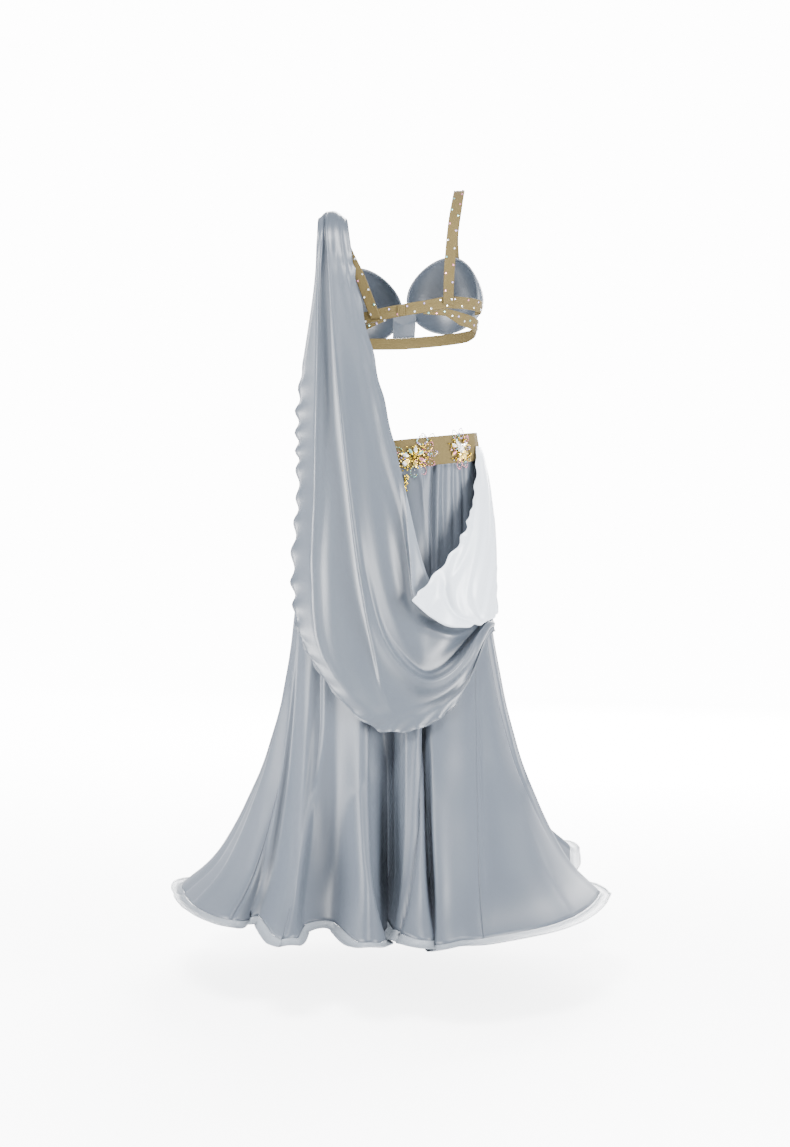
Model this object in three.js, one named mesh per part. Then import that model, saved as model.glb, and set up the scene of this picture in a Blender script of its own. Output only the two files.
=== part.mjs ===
// Belly dance dress: a satin skirt gathered to a stretch hip belt, a one-shoulder satin drape,
// and a bra of power-net straps with two satin cups. Worn shape on a general figure, hollow.
//
// Millimetres, +Z up. The origin is the centre of the belt's top opening. The wearer's back
// faces -Y and the wearer's right side is +X. Angles are turned about Z: 0 is the middle of
// the back, 90 the wearer's right side, 180 the front.

import * as THREE from 'three';

// ---- driving dimensions -------------------------------------------------------------------

const SEAM_GAP = 0.3;
const SATIN_WALL = 1.2;
const NET_WALL = 1.5;
const BRAID_WALL = 1.0;
const CUP_WALL = 2.5;

const BELT_HEIGHT = 53;
const BELT_RISE_PER_MM = 0.1;

const HEM_Z = -878;
const HEM_BRAID_HEIGHT = 20;
const HEM_BRAID_FLARE = 5;
const GATHERS = 44;
const COLUMNS_PER_GATHER = 3;
const GATHER_DEPTH = 3.2;
const GATHER_LENGTH = 0.2;

const FACET_ROOM = 0.5;
const BAND_HEIGHT = 22;
const HOOK_ANGLE = -2.5;
const STRAP_WIDTH = 20;

const CUP_ANGLE = 35;
const CUP_HALF_WIDTH = 74;
const CUP_HALF_HEIGHT = 66;
const CUP_DOME = 52;
const CUP_Z = 262;
const CUP_TILT_PER_DEGREE = 0.3;

// Sections of the figure that the skirt and the belt lie on: half widths across X and Y.
const HIP_SECTIONS = [
  { z: 20, halfWidth: 143, halfDepth: 98, centreX: 1 },
  { z: 0, halfWidth: 148, halfDepth: 102, centreX: 0 },
  { z: -53, halfWidth: 160, halfDepth: 112, centreX: -4 },
  { z: -110, halfWidth: 170, halfDepth: 119, centreX: -12 },
  { z: -230, halfWidth: 172, halfDepth: 121, centreX: -17 },
  { z: -900, halfWidth: 172, halfDepth: 121, centreX: -17 },
];

// Sections of the rib cage that the bra lies on.
const TORSO_SECTIONS = [
  { z: 180, halfWidth: 132, halfDepth: 93, centreX: 7 },
  { z: 250, halfWidth: 146, halfDepth: 101, centreX: 9 },
  { z: 360, halfWidth: 150, halfDepth: 98, centreX: 9 },
];

// How far the skirt has opened from the hip section (0) to the hem line (1), on its way down.
const SKIRT_FLARE = [
  { drop: 0, flare: 0 },
  { drop: 0.12, flare: 0.004 },
  { drop: 0.25, flare: 0.03 },
  { drop: 0.41, flare: 0.1 },
  { drop: 0.55, flare: 0.19 },
  { drop: 0.69, flare: 0.33 },
  { drop: 0.82, flare: 0.53 },
  { drop: 0.91, flare: 0.71 },
  { drop: 0.965, flare: 0.88 },
  { drop: 1, flare: 1 },
];

// The hem's flutes, in order round the skirt: where each ridge and valley leaves the hip
// section (angle, degrees) and where it reaches the hem (x, y, and lift above the hem line).
const HEM_FLUTES = [
  { name: 'left_side_ridge', angle: -100, x: -427, y: 87, lift: 0 },
  { name: 'left_back_ridge', angle: -89, x: -388, y: -120, lift: 0 },
  { name: 'left_back_turn', angle: -82, x: -312, y: -256, lift: 0 },
  { name: 'first_crease', angle: -76, x: -250, y: -244, lift: 4 },
  { name: 'second_ridge', angle: -60, x: -205, y: -370, lift: -10 },
  { name: 'second_crease', angle: -44, x: -180, y: -288, lift: 2 },
  { name: 'third_hollow', angle: -35, x: -112, y: -272, lift: 2 },
  { name: 'third_ridge', angle: -15, x: -50, y: -386, lift: -12 },
  { name: 'deep_valley', angle: -3, x: -22, y: -190, lift: 6 },
  { name: 'fourth_hollow', angle: 8, x: 0, y: -330, lift: 2 },
  { name: 'fourth_ridge', angle: 16, x: 47, y: -386, lift: -8 },
  { name: 'narrow_crease', angle: 20.5, x: 59, y: -286, lift: 2 },
  { name: 'fifth_ridge', angle: 25, x: 72, y: -392, lift: -12 },
  { name: 'fifth_front', angle: 46, x: 104, y: -404, lift: -6 },
  { name: 'right_back_seam', angle: 68, x: 144, y: -396, lift: -4 },
  { name: 'right_back_turn', angle: 77, x: 258, y: -318, lift: 0 },
  { name: 'right_back_ridge', angle: 84, x: 338, y: -180, lift: 0 },
  { name: 'right_side_ridge', angle: 92, x: 380, y: -30, lift: 0 },
  { name: 'right_side_turn', angle: 100, x: 368, y: 62, lift: 2 },
  { name: 'right_side_valley', angle: 108, x: 314, y: 124, lift: 6 },
  { name: 'right_front_turn', angle: 115, x: 344, y: 204, lift: 24 },
  { name: 'right_front_ridge', angle: 123, x: 336, y: 292, lift: 44 },
  { name: 'right_front_fall', angle: 131, x: 262, y: 318, lift: 18 },
  { name: 'right_front_valley', angle: 139, x: 200, y: 248, lift: 6 },
  { name: 'front_right_turn', angle: 148, x: 190, y: 350, lift: -2 },
  { name: 'front_right_ridge', angle: 157, x: 116, y: 396, lift: -4 },
  { name: 'front_right_valley', angle: 166, x: 66, y: 286, lift: 4 },
  { name: 'front_turn', angle: 175, x: 34, y: 386, lift: -6 },
  { name: 'front_ridge', angle: 186, x: -70, y: 392, lift: -6 },
  { name: 'front_valley', angle: 196, x: -106, y: 276, lift: 4 },
  { name: 'front_left_turn', angle: 204, x: -156, y: 370, lift: -4 },
  { name: 'front_left_ridge', angle: 213, x: -236, y: 340, lift: -2 },
  { name: 'front_left_valley', angle: 222, x: -250, y: 250, lift: 4 },
  { name: 'left_front_turn', angle: 231, x: -322, y: 286, lift: 0 },
  { name: 'left_front_ridge', angle: 241, x: -386, y: 208, lift: 0 },
  { name: 'left_front_valley', angle: 250, x: -362, y: 138, lift: 4 },
];

// The skirt's four gores, from seam to seam, and the gathers that each one takes.
const SKIRT_GORES = [
  { name: 'skirt_back', firstGather: 3, gathers: 16 },
  { name: 'skirt_right', firstGather: 19, gathers: 10 },
  { name: 'skirt_front', firstGather: 29, gathers: 9 },
  { name: 'skirt_left', firstGather: 38, gathers: 9 },
];

const SKIRT_ROWS = [0, 0.03, 0.09, 0.18, 0.3, 0.44, 0.58, 0.7, 0.81, 0.9];

// The drape hangs from the left shoulder and is gathered at the right hip. Each row is one
// fold line, from its free lower hem to its upper edge: x at four heights, then the points
// where it turns (bend, low, rise) and its height on the right hip. Relief is out from the back.
const DRAPE_HEIGHTS = { shoulder: 430, blade: 274, waist: 72, hip: -92 };
const DRAPE_FOLDS = [
  { name: 'hem', xShoulder: -150, xBlade: -158, xWaist: -189, xHip: -190,
    bend: [-200, -256], low: [-172, -391], turn: [-48, -525], rise: [84, -501], endZ: -378, relief: 0 },
  { name: 'hem_ridge', xShoulder: -145, xBlade: -149, xWaist: -149, xHip: -148,
    bend: [-146, -256], low: [-118, -410], turn: [-19, -505], rise: [106, -468], endZ: -364, relief: 8 },
  { name: 'long_valley', xShoulder: -138, xBlade: -136, xWaist: -127, xHip: -113,
    bend: [-99, -256], low: [-58, -401], turn: [20, -479], rise: [113, -444], endZ: -355, relief: -8 },
  { name: 'roll', xShoulder: -131, xBlade: -123, xWaist: -108, xHip: -92,
    bend: [-68, -247], low: [-27, -360], turn: [45, -437], rise: [114, -407], endZ: -348, relief: 13 },
  { name: 'swag', xShoulder: -124, xBlade: -109, xWaist: -86, xHip: -62,
    bend: [-37, -238], low: [-2, -335], turn: [46, -386], rise: [106, -380], endZ: -342, relief: 2 },
  { name: 'upper_valley', xShoulder: -117, xBlade: -94, xWaist: -62, xHip: -30,
    bend: [-7, -210], low: [18, -303], turn: [52, -340], rise: [104, -352], endZ: -337, relief: -8 },
  { name: 'upper_ridge', xShoulder: -111, xBlade: -85, xWaist: -41, xHip: -4,
    bend: [13, -201], low: [28, -280], turn: [58, -314], rise: [106, -330], endZ: -331, relief: 6 },
  { name: 'upper_edge', xShoulder: -106, xBlade: -77, xWaist: -30, xHip: 8,
    bend: [30, -188], low: [50, -250], turn: [80, -284], rise: [118, -304], endZ: -324, relief: 0 },
];
const DRAPE_COLUMNS = 18;
const DRAPE_ROWS = 32;
const DRAPE_END_X = 165;

// The room that the drape hangs round: its reach to each side, and its depth behind.
const DRAPE_ROOM = [
  { z: 300, left: -192, right: 150, depth: 118 },
  { z: 72, left: -212, right: 150, depth: 132 },
  { z: -92, left: -206, right: 172, depth: 144 },
  { z: -200, left: -216, right: 176, depth: 150 },
  { z: -300, left: -220, right: 178, depth: 160 },
  { z: -400, left: -228, right: 188, depth: 170 },
  { z: -540, left: -262, right: 214, depth: 190 },
];

// The hip flap is the drape's upper part, turned over and carried up to the belt. Each row is
// one rib, from its place on the belt (angle) through two points down to the turned crease.
const FLAP_RIBS = [
  { name: 'wavy_edge', beltAngle: 69, upper: [136, -99, -102], lower: [104, -150, -193], foot: [25, -182, -288] },
  { name: 'inner_rib', beltAngle: 75, upper: [147, -86, -99], lower: [127, -140, -206], foot: [58, -190, -316] },
  { name: 'middle_rib', beltAngle: 82, upper: [157, -62, -100], lower: [145, -118, -212], foot: [100, -178, -337] },
  { name: 'side_rib', beltAngle: 91, upper: [168, -22, -101], lower: [172, -62, -214], foot: [160, -102, -334] },
  { name: 'front_rib', beltAngle: 104, upper: [168, 30, -100], lower: [180, 24, -212], foot: [186, 10, -326] },
];
const FLAP_TOP_Z = -12;

// Rhinestone flower applique on the belt: place round the belt, half sizes and petals. A bead
// drop hangs under every second flower, dropOut from the hips' surface, so that it rests on
// the skirt's gathers there.
const APPLIQUE = [
  { angle: 15, drop: 30, halfWidth: 40, halfHeight: 38, petals: 6, dropOut: -0.8 },
  { angle: 48, drop: 28, halfWidth: 27, halfHeight: 39, petals: 5, dropOut: null },
  { angle: 128, drop: 30, halfWidth: 40, halfHeight: 38, petals: 6, dropOut: -1.1 },
  { angle: 160, drop: 28, halfWidth: 27, halfHeight: 39, petals: 5, dropOut: null },
  { angle: 192, drop: 30, halfWidth: 40, halfHeight: 38, petals: 6, dropOut: -1.5 },
  { angle: 224, drop: 28, halfWidth: 27, halfHeight: 39, petals: 5, dropOut: null },
  { angle: 260, drop: 30, halfWidth: 40, halfHeight: 38, petals: 6, dropOut: 0.4 },
  { angle: 300, drop: 28, halfWidth: 27, halfHeight: 39, petals: 5, dropOut: null },
  { angle: 336, drop: 30, halfWidth: 40, halfHeight: 38, petals: 6, dropOut: -0.8 },
];
const APPLIQUE_HEIGHT = 5;

// ---- small helpers ------------------------------------------------------------------------

const radians = THREE.MathUtils.degToRad;
const mix = THREE.MathUtils.lerp;

// A table's column read at a value of its key column, straight between its rows.
function readTable(table, key, at, column) {
  const rising = table[0][key] < table[table.length - 1][key];
  const last = table.length - 1;
  if (rising ? at <= table[0][key] : at >= table[0][key]) return table[0][column];
  if (rising ? at >= table[last][key] : at <= table[last][key]) return table[last][column];
  let i = 0;
  while (rising ? table[i + 1][key] < at : table[i + 1][key] > at) i += 1;
  const t = (at - table[i][key]) / (table[i + 1][key] - table[i][key]);
  return mix(table[i][column], table[i + 1][column], t);
}

// A smooth curve through a list of numbers, read at t from 0 to 1. It goes through each number.
function smoothThrough(values, t, wraps = false) {
  const n = values.length;
  const span = wraps ? n : n - 1;
  const place = THREE.MathUtils.clamp(t, 0, 1) * span;
  const i = Math.min(Math.floor(place), span - 1);
  const f = place - i;
  const at = (k) => (wraps ? values[((k % n) + n) % n] : values[THREE.MathUtils.clamp(k, 0, n - 1)]);
  const slopeHere = (at(i + 1) - at(i - 1)) / 2;
  const slopeNext = (at(i + 2) - at(i)) / 2;
  const f2 = f * f;
  const f3 = f2 * f;
  return (2 * f3 - 3 * f2 + 1) * at(i) + (f3 - 2 * f2 + f) * slopeHere
    + (3 * f2 - 2 * f3) * at(i + 1) + (f3 - f2) * slopeNext;
}

// A point on an elliptical section at an angle from the middle of the back, moved out from it.
function sectionPoint(sections, angle, z, out) {
  const halfWidth = readTable(sections, 'z', z, 'halfWidth');
  const halfDepth = readTable(sections, 'z', z, 'halfDepth');
  const centreX = readTable(sections, 'z', z, 'centreX');
  const a = radians(angle);
  const normal = new THREE.Vector2(Math.sin(a) / halfWidth, -Math.cos(a) / halfDepth).normalize();
  return new THREE.Vector3(
    centreX + halfWidth * Math.sin(a) + out * normal.x,
    -halfDepth * Math.cos(a) + out * normal.y,
    z,
  );
}

const TORSO_TABLE = [...TORSO_SECTIONS].reverse();
const hipPoint = (angle, z, out) => sectionPoint(HIP_SECTIONS, angle, z, out);
const torsoPoint = (angle, z, out) => sectionPoint(TORSO_TABLE, angle, z, out);

// A closed wall round a surface point(u, v), u and v from 0 to 1. Where it closes on itself in
// u it is a tube; otherwise its side edges are held back by inset (mm) for a seam.
function wallGeometry({ point, uSteps, vStops, wall, closed = false, inset = 0 }) {
  const step = 0.5 / uSteps;
  const normalAt = (u, v) => {
    const across = point(u + step, v).sub(point(u - step, v));
    const down = point(u, Math.min(v + 0.01, 1)).sub(point(u, Math.max(v - 0.01, 0)));
    return across.cross(down).normalize();
  };
  const columns = closed ? uSteps : uSteps + 1;
  const rows = vStops.length;
  const positions = [];
  for (const side of [0.5, -0.5]) {
    for (let j = 0; j < rows; j += 1) {
      const v = vStops[j];
      const trimStart = closed ? 0 : inset / (point(step, v).distanceTo(point(0, v)) / step);
      const trimEnd = closed ? 0 : inset / (point(1, v).distanceTo(point(1 - step, v)) / step);
      for (let i = 0; i < columns; i += 1) {
        const u = mix(trimStart, 1 - trimEnd, i / uSteps);
        const p = point(u, v).addScaledVector(normalAt(u, v), side * wall);
        positions.push(p.x, p.y, p.z);
      }
    }
  }
  const id = (side, i, j) => side * rows * columns + j * columns + (i % columns);
  const faces = [];
  const quad = (a, b, c, d) => faces.push(a, b, c, a, c, d);
  for (let j = 0; j < rows - 1; j += 1) {
    for (let i = 0; i < uSteps; i += 1) {
      quad(id(0, i, j), id(0, i + 1, j), id(0, i + 1, j + 1), id(0, i, j + 1));
      quad(id(1, i, j), id(1, i, j + 1), id(1, i + 1, j + 1), id(1, i + 1, j));
    }
  }
  for (let i = 0; i < uSteps; i += 1) {
    quad(id(0, i, 0), id(1, i, 0), id(1, i + 1, 0), id(0, i + 1, 0));
    quad(id(0, i, rows - 1), id(0, i + 1, rows - 1), id(1, i + 1, rows - 1), id(1, i, rows - 1));
  }
  if (!closed) {
    for (let j = 0; j < rows - 1; j += 1) {
      quad(id(0, 0, j), id(0, 0, j + 1), id(1, 0, j + 1), id(1, 0, j));
      quad(id(0, uSteps, j), id(1, uSteps, j), id(1, uSteps, j + 1), id(0, uSteps, j + 1));
    }
  }
  return outwardGeometry(positions, faces);
}

// An indexed geometry whose faces point out: turned over where its volume comes out negative.
function outwardGeometry(positions, faces) {
  let volume = 0;
  const at = (k) => new THREE.Vector3(positions[3 * k], positions[3 * k + 1], positions[3 * k + 2]);
  for (let f = 0; f < faces.length; f += 3) {
    volume += at(faces[f]).dot(at(faces[f + 1]).cross(at(faces[f + 2])));
  }
  const index = volume > 0 ? faces : faces.map((_, k) => faces[k - (k % 3) + (2 - (k % 3))]);
  const geometry = new THREE.BufferGeometry();
  geometry.setAttribute('position', new THREE.Float32BufferAttribute(positions, 3));
  geometry.setIndex(index);
  geometry.computeVertexNormals();
  return geometry;
}

const evenStops = (count) => Array.from({ length: count + 1 }, (_, k) => k / count);

// ---- skirt --------------------------------------------------------------------------------

const fluteColumn = (name) => HEM_FLUTES.map((flute) => flute[name]);
const FLUTE_X = fluteColumn('x');
const FLUTE_Y = fluteColumn('y');
const FLUTE_LIFT = fluteColumn('lift');
const FLUTE_ANGLE = fluteColumn('angle');

// The hem line's own length, so that the gathers are spread evenly along the cloth.
const HEM_SAMPLES = 1400;
const hemLine = evenStops(HEM_SAMPLES).map((t) => new THREE.Vector2(
  smoothThrough(FLUTE_X, t, true),
  smoothThrough(FLUTE_Y, t, true),
));
const hemLengths = [0];
for (let k = 1; k <= HEM_SAMPLES; k += 1) {
  hemLengths.push(hemLengths[k - 1] + hemLine[k].distanceTo(hemLine[k - 1]));
}

// The angle at which the cloth leaves the hips, at a place along the list of flutes.
function hipAngle(t) {
  const n = FLUTE_ANGLE.length;
  const place = t * n;
  const i = Math.min(Math.floor(place), n - 1);
  const next = i + 1 < n ? FLUTE_ANGLE[i + 1] : FLUTE_ANGLE[0] + 360;
  return mix(FLUTE_ANGLE[i], next, place - i);
}

// How far round the skirt each sample of the hem line is, in cloth: partly by its angle on the
// hips, partly by the hem's length and partly by the count of flutes, so that the gathers are
// nearly even at the belt and each fold keeps enough columns at the hem.
const SPREAD = { byAngle: 0.5, byLength: 0.35, byCount: 0.15 };
const clothFractions = hemLengths.map((length, k) => {
  const t = k / HEM_SAMPLES;
  return SPREAD.byAngle * ((hipAngle(t) - FLUTE_ANGLE[0]) / 360)
    + SPREAD.byLength * (length / hemLengths[HEM_SAMPLES])
    + SPREAD.byCount * t;
});

// Where along the list of flutes, from 0 to 1, a fraction of the cloth's way round lies.
function fluteAt(fraction) {
  const whole = Math.floor(fraction);
  const wanted = fraction - whole;
  let low = 0;
  let high = HEM_SAMPLES;
  while (high - low > 1) {
    const middle = (low + high) >> 1;
    if (clothFractions[middle] <= wanted) low = middle;
    else high = middle;
  }
  const f = (wanted - clothFractions[low]) / (clothFractions[high] - clothFractions[low]);
  return { t: (low + f) / HEM_SAMPLES, turns: whole };
}

// A point of the skirt: fraction goes once round, drop goes from the belt (0) to the hem (1).
// The hip section turns into the fluted hem line as the flare grows, and the gathers fade out.
function skirtPoint(fraction, drop) {
  const flute = fluteAt(fraction);
  const angle = hipAngle(flute.t) + 360 * flute.turns;
  const flare = readTable(SKIRT_FLARE, 'drop', drop, 'flare');
  const edge = hipPoint(angle, -BELT_HEIGHT, 0);
  const topZ = -BELT_HEIGHT - 2 * SEAM_GAP + BELT_RISE_PER_MM * edge.x;
  const hemZ = HEM_Z + smoothThrough(FLUTE_LIFT, flute.t, true);
  const z = mix(topZ, hemZ, drop);
  const fade = Math.max(0, 1 - drop / GATHER_LENGTH);
  const wave = Math.cos(2 * Math.PI * GATHERS * fraction);
  const out = GATHER_DEPTH * fade * (wave - 1) * 0.5 - SATIN_WALL * 0.5;
  const hip = hipPoint(angle, z, out);
  return new THREE.Vector3(
    mix(hip.x, smoothThrough(FLUTE_X, flute.t, true), flare),
    mix(hip.y, smoothThrough(FLUTE_Y, flute.t, true), flare),
    z,
  );
}

const HEM_FALL = -BELT_HEIGHT - HEM_Z;
const BRAID_TOP = 1 - HEM_BRAID_HEIGHT / HEM_FALL;

function skirtGore({ firstGather, gathers }) {
  const point = (u, v) => skirtPoint((firstGather + u * gathers) / GATHERS, v);
  const lastStop = BRAID_TOP - (2 * SEAM_GAP) / HEM_FALL;
  return wallGeometry({
    point,
    uSteps: gathers * COLUMNS_PER_GATHER,
    vStops: [...SKIRT_ROWS, lastStop],
    wall: SATIN_WALL,
    inset: SEAM_GAP / 2,
  });
}

// The stiff horsehair braid carries the skirt's line on and turns a little further out.
function hemBraid() {
  const point = (u, v) => {
    const p = skirtPoint(u, mix(BRAID_TOP, 1, v));
    const outward = new THREE.Vector3(p.x + 17, p.y, 0).normalize();
    return p.addScaledVector(outward, HEM_BRAID_FLARE * v * v);
  };
  return wallGeometry({
    point,
    uSteps: GATHERS * COLUMNS_PER_GATHER,
    vStops: [0, 1],
    wall: BRAID_WALL,
    closed: true,
  });
}

// ---- hip belt -----------------------------------------------------------------------------

const beltZ = (angle, drop) => -drop + BELT_RISE_PER_MM * hipPoint(angle, -drop, 0).x;

function hipBelt() {
  const point = (u, v) => {
    const angle = 360 * u;
    return hipPoint(angle, beltZ(angle, BELT_HEIGHT * v), 0);
  };
  return wallGeometry({ point, uSteps: 72, vStops: [0, 0.5, 1], wall: NET_WALL, closed: true });
}

// A flower on the belt: a plate with petals, raised towards its middle, that follows the hips.
function appliqueFlower({ angle, drop, halfWidth, halfHeight, petals }) {
  const segments = petals * 4;
  const rings = [0.45, 0.85, 1];
  const clear = NET_WALL / 2 + SEAM_GAP + FACET_ROOM;
  const hipRadius = 132;
  const place = (turn, ring, out) => {
    const petal = 0.78 + 0.22 * Math.cos(petals * turn);
    const side = halfWidth * ring * petal * Math.sin(turn);
    const rise = halfHeight * ring * petal * Math.cos(turn);
    const at = angle + THREE.MathUtils.radToDeg(side / hipRadius);
    return hipPoint(at, beltZ(at, drop - rise), out);
  };
  const positions = [];
  const faces = [];
  const put = (p) => positions.push(p.x, p.y, p.z);
  const heights = [APPLIQUE_HEIGHT, APPLIQUE_HEIGHT * 0.72, APPLIQUE_HEIGHT * 0.45];
  for (const bottom of [false, true]) {
    put(place(0, 0, clear + (bottom ? 0 : APPLIQUE_HEIGHT * 1.1)));
    rings.forEach((ring, k) => {
      for (let s = 0; s < segments; s += 1) {
        const turn = (2 * Math.PI * s) / segments;
        put(place(turn, ring, clear + (bottom ? 0 : heights[k])));
      }
    });
  }
  const half = 1 + rings.length * segments;
  const id = (bottom, ring, s) => (bottom ? half : 0) + 1 + ring * segments + (s % segments);
  for (let s = 0; s < segments; s += 1) {
    faces.push(0, id(false, 0, s), id(false, 0, s + 1));
    faces.push(half, id(true, 0, s + 1), id(true, 0, s));
    for (let k = 0; k < rings.length - 1; k += 1) {
      faces.push(id(false, k, s), id(false, k + 1, s), id(false, k + 1, s + 1));
      faces.push(id(false, k, s), id(false, k + 1, s + 1), id(false, k, s + 1));
      faces.push(id(true, k, s), id(true, k + 1, s + 1), id(true, k + 1, s));
      faces.push(id(true, k, s), id(true, k, s + 1), id(true, k + 1, s + 1));
    }
    const rim = rings.length - 1;
    faces.push(id(false, rim, s), id(true, rim, s), id(true, rim, s + 1));
    faces.push(id(false, rim, s), id(true, rim, s + 1), id(false, rim, s + 1));
  }
  return outwardGeometry(positions, faces);
}

// A hanging drop of gold leaf beads under a flower: a string whose thickness swells bead by bead.
const DROP_BEADS = 3;
const DROP_LENGTH = 34;
const DROP_BEAD_RADIUS = 3.6;
function beadDrop({ angle, drop, halfHeight, dropOut }) {
  const sides = 6;
  const stopsPerBead = 4;
  const stops = DROP_BEADS * stopsPerBead;
  const at = angle - 9;
  const point = (k, s) => {
    const fraction = k / stops;
    const swell = 0.35 + 0.65 * Math.abs(Math.sin(Math.PI * fraction * DROP_BEADS));
    const radius = DROP_BEAD_RADIUS * swell;
    const turn = (2 * Math.PI * s) / sides;
    const down = drop + halfHeight * 0.94 + fraction * DROP_LENGTH;
    const sideways = THREE.MathUtils.radToDeg((radius * Math.sin(turn)) / 140);
    const out = dropOut + DROP_BEAD_RADIUS + radius * Math.cos(turn);
    return hipPoint(at + sideways, beltZ(at, down), out);
  };
  const positions = [];
  const faces = [];
  for (let k = 0; k <= stops; k += 1) {
    for (let s = 0; s < sides; s += 1) {
      const p = point(k, s);
      positions.push(p.x, p.y, p.z);
    }
  }
  const id = (k, s) => k * sides + (s % sides);
  for (let k = 0; k < stops; k += 1) {
    for (let s = 0; s < sides; s += 1) {
      faces.push(id(k, s), id(k, s + 1), id(k + 1, s + 1), id(k, s), id(k + 1, s + 1), id(k + 1, s));
    }
  }
  for (let s = 1; s < sides - 1; s += 1) {
    faces.push(id(0, 0), id(0, s + 1), id(0, s));
    faces.push(id(stops, 0), id(stops, s), id(stops, s + 1));
  }
  return outwardGeometry(positions, faces);
}

// ---- drape --------------------------------------------------------------------------------

// How far behind the figure the drape hangs at a place on the back: round at both sides.
function drapeDepth(x, z) {
  const left = readTable(DRAPE_ROOM, 'z', z, 'left');
  const right = readTable(DRAPE_ROOM, 'z', z, 'right');
  const depth = readTable(DRAPE_ROOM, 'z', z, 'depth');
  const side = Math.min(Math.abs((x - (left + right) / 2) / ((right - left) / 2)), 0.985);
  return depth * Math.sqrt(1 - side ** 2.4);
}

// Over the shoulder every fold line takes the same arch: y, and how far below its top.
const SHOULDER_ARCH = [
  { y: 66, below: 40 },
  { y: 34, below: 13 },
  { y: 0, below: 0 },
  { y: -46, below: 14 },
  { y: -84, below: 62 },
];

// The stations of one fold line, from its front end over the shoulder to the right hip.
function foldStations(fold) {
  const { shoulder, blade, waist, hip } = DRAPE_HEIGHTS;
  const back = ([x, z], share) => [x, -drapeDepth(x, z) - fold.relief * share, z];
  const arch = SHOULDER_ARCH.map(({ y, below }) => {
    const x = mix(fold.xShoulder, fold.xBlade, Math.max(0, -y) / 200);
    return [x, y + Math.min(0, y) * fold.relief * 0.003, shoulder - below];
  });
  return [
    ...arch,
    back([fold.xBlade, blade], 0.6),
    back([fold.xWaist, waist], 0.9),
    back([fold.xHip, hip], 1),
    back(fold.bend, 1),
    back(fold.low, 1),
    back(fold.turn, 1),
    back(fold.rise, 0.8),
    [DRAPE_END_X, -74 - fold.relief * 0.3, fold.endZ],
    [DRAPE_END_X + 12 + 0.2 * (-330 - mix(fold.endZ, -350, 0.4)), -16, mix(fold.endZ, -350, 0.4)],
  ];
}

const FOLD_STATIONS = DRAPE_FOLDS.map(foldStations);

function drapePoint(u, v) {
  const coordinate = (axis) => smoothThrough(
    FOLD_STATIONS.map((stations) => smoothThrough(stations.map((station) => station[axis]), v)),
    u,
  );
  return new THREE.Vector3(coordinate(0), coordinate(1), coordinate(2));
}

function backDrape() {
  return wallGeometry({
    point: drapePoint,
    uSteps: DRAPE_COLUMNS,
    vStops: evenStops(DRAPE_ROWS),
    wall: SATIN_WALL,
  });
}

// The flap's ribs run from the belt's outer face to the turned crease over the drape.
const RIB_STATIONS = FLAP_RIBS.map((rib) => {
  const out = NET_WALL / 2 + SEAM_GAP + SATIN_WALL / 2 + FACET_ROOM;
  const seat = hipPoint(rib.beltAngle, FLAP_TOP_Z, out);
  return [seat.toArray(), rib.upper, rib.lower, rib.foot];
});

function flapPoint(u, v) {
  const coordinate = (axis) => smoothThrough(
    RIB_STATIONS.map((stations) => smoothThrough(stations.map((station) => station[axis]), v)),
    u,
  );
  return new THREE.Vector3(coordinate(0), coordinate(1), coordinate(2));
}

function hipFlap() {
  return wallGeometry({ point: flapPoint, uSteps: 12, vStops: evenStops(12), wall: SATIN_WALL });
}

// ---- bra ----------------------------------------------------------------------------------

// Heights round the rib cage: the band's middle line, and the lower strap's two edges. The
// right strap pulls the band up, so it isn't level.
const BAND_LINE = [
  { angle: -115, band: 222, strapTop: 196, strapBottom: 174 },
  { angle: -62, band: 221, strapTop: 205, strapBottom: 184 },
  { angle: -30, band: 225, strapTop: 213.4, strapBottom: 204 },
  { angle: -14, band: 233, strapTop: 221.4, strapBottom: 219.4 },
  { angle: 14, band: 245, strapTop: 233.4, strapBottom: 231.4 },
  { angle: 32, band: 254, strapTop: 242.4, strapBottom: 229 },
  { angle: 48, band: 254, strapTop: 236, strapBottom: 213 },
  { angle: 90, band: 250, strapTop: 222, strapBottom: 199 },
  { angle: 115, band: 250, strapTop: 210, strapBottom: 188 },
  { angle: 180, band: 238, strapTop: 199, strapBottom: 177 },
  { angle: 245, band: 222, strapTop: 196, strapBottom: 174 },
  { angle: 298, band: 221, strapTop: 205, strapBottom: 184 },
  { angle: 330, band: 225, strapTop: 213.4, strapBottom: 204 },
  { angle: 346, band: 233, strapTop: 221.4, strapBottom: 219.4 },
];
const bandLine = (angle, column) => readTable(BAND_LINE, 'angle', angle, column);

// One side of the back band, from the hooks to under the cup's outer edge.
function braBand(fromAngle, toAngle) {
  const point = (u, v) => {
    const angle = mix(fromAngle, toAngle, u);
    return torsoPoint(angle, bandLine(angle, 'band') + BAND_HEIGHT * (0.5 - v), 0);
  };
  return wallGeometry({ point, uSteps: 18, vStops: [0, 1], wall: NET_WALL, inset: SEAM_GAP / 2 });
}

// The lower strap leaves the band behind, dips at the sides and runs under both cups.
function lowerStrap() {
  const point = (u, v) => {
    const angle = mix(14, 346, u);
    const z = mix(bandLine(angle, 'strapTop'), bandLine(angle, 'strapBottom'), v);
    return torsoPoint(angle, z, 0);
  };
  return wallGeometry({ point, uSteps: 50, vStops: [0, 1], wall: NET_WALL });
}

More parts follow.
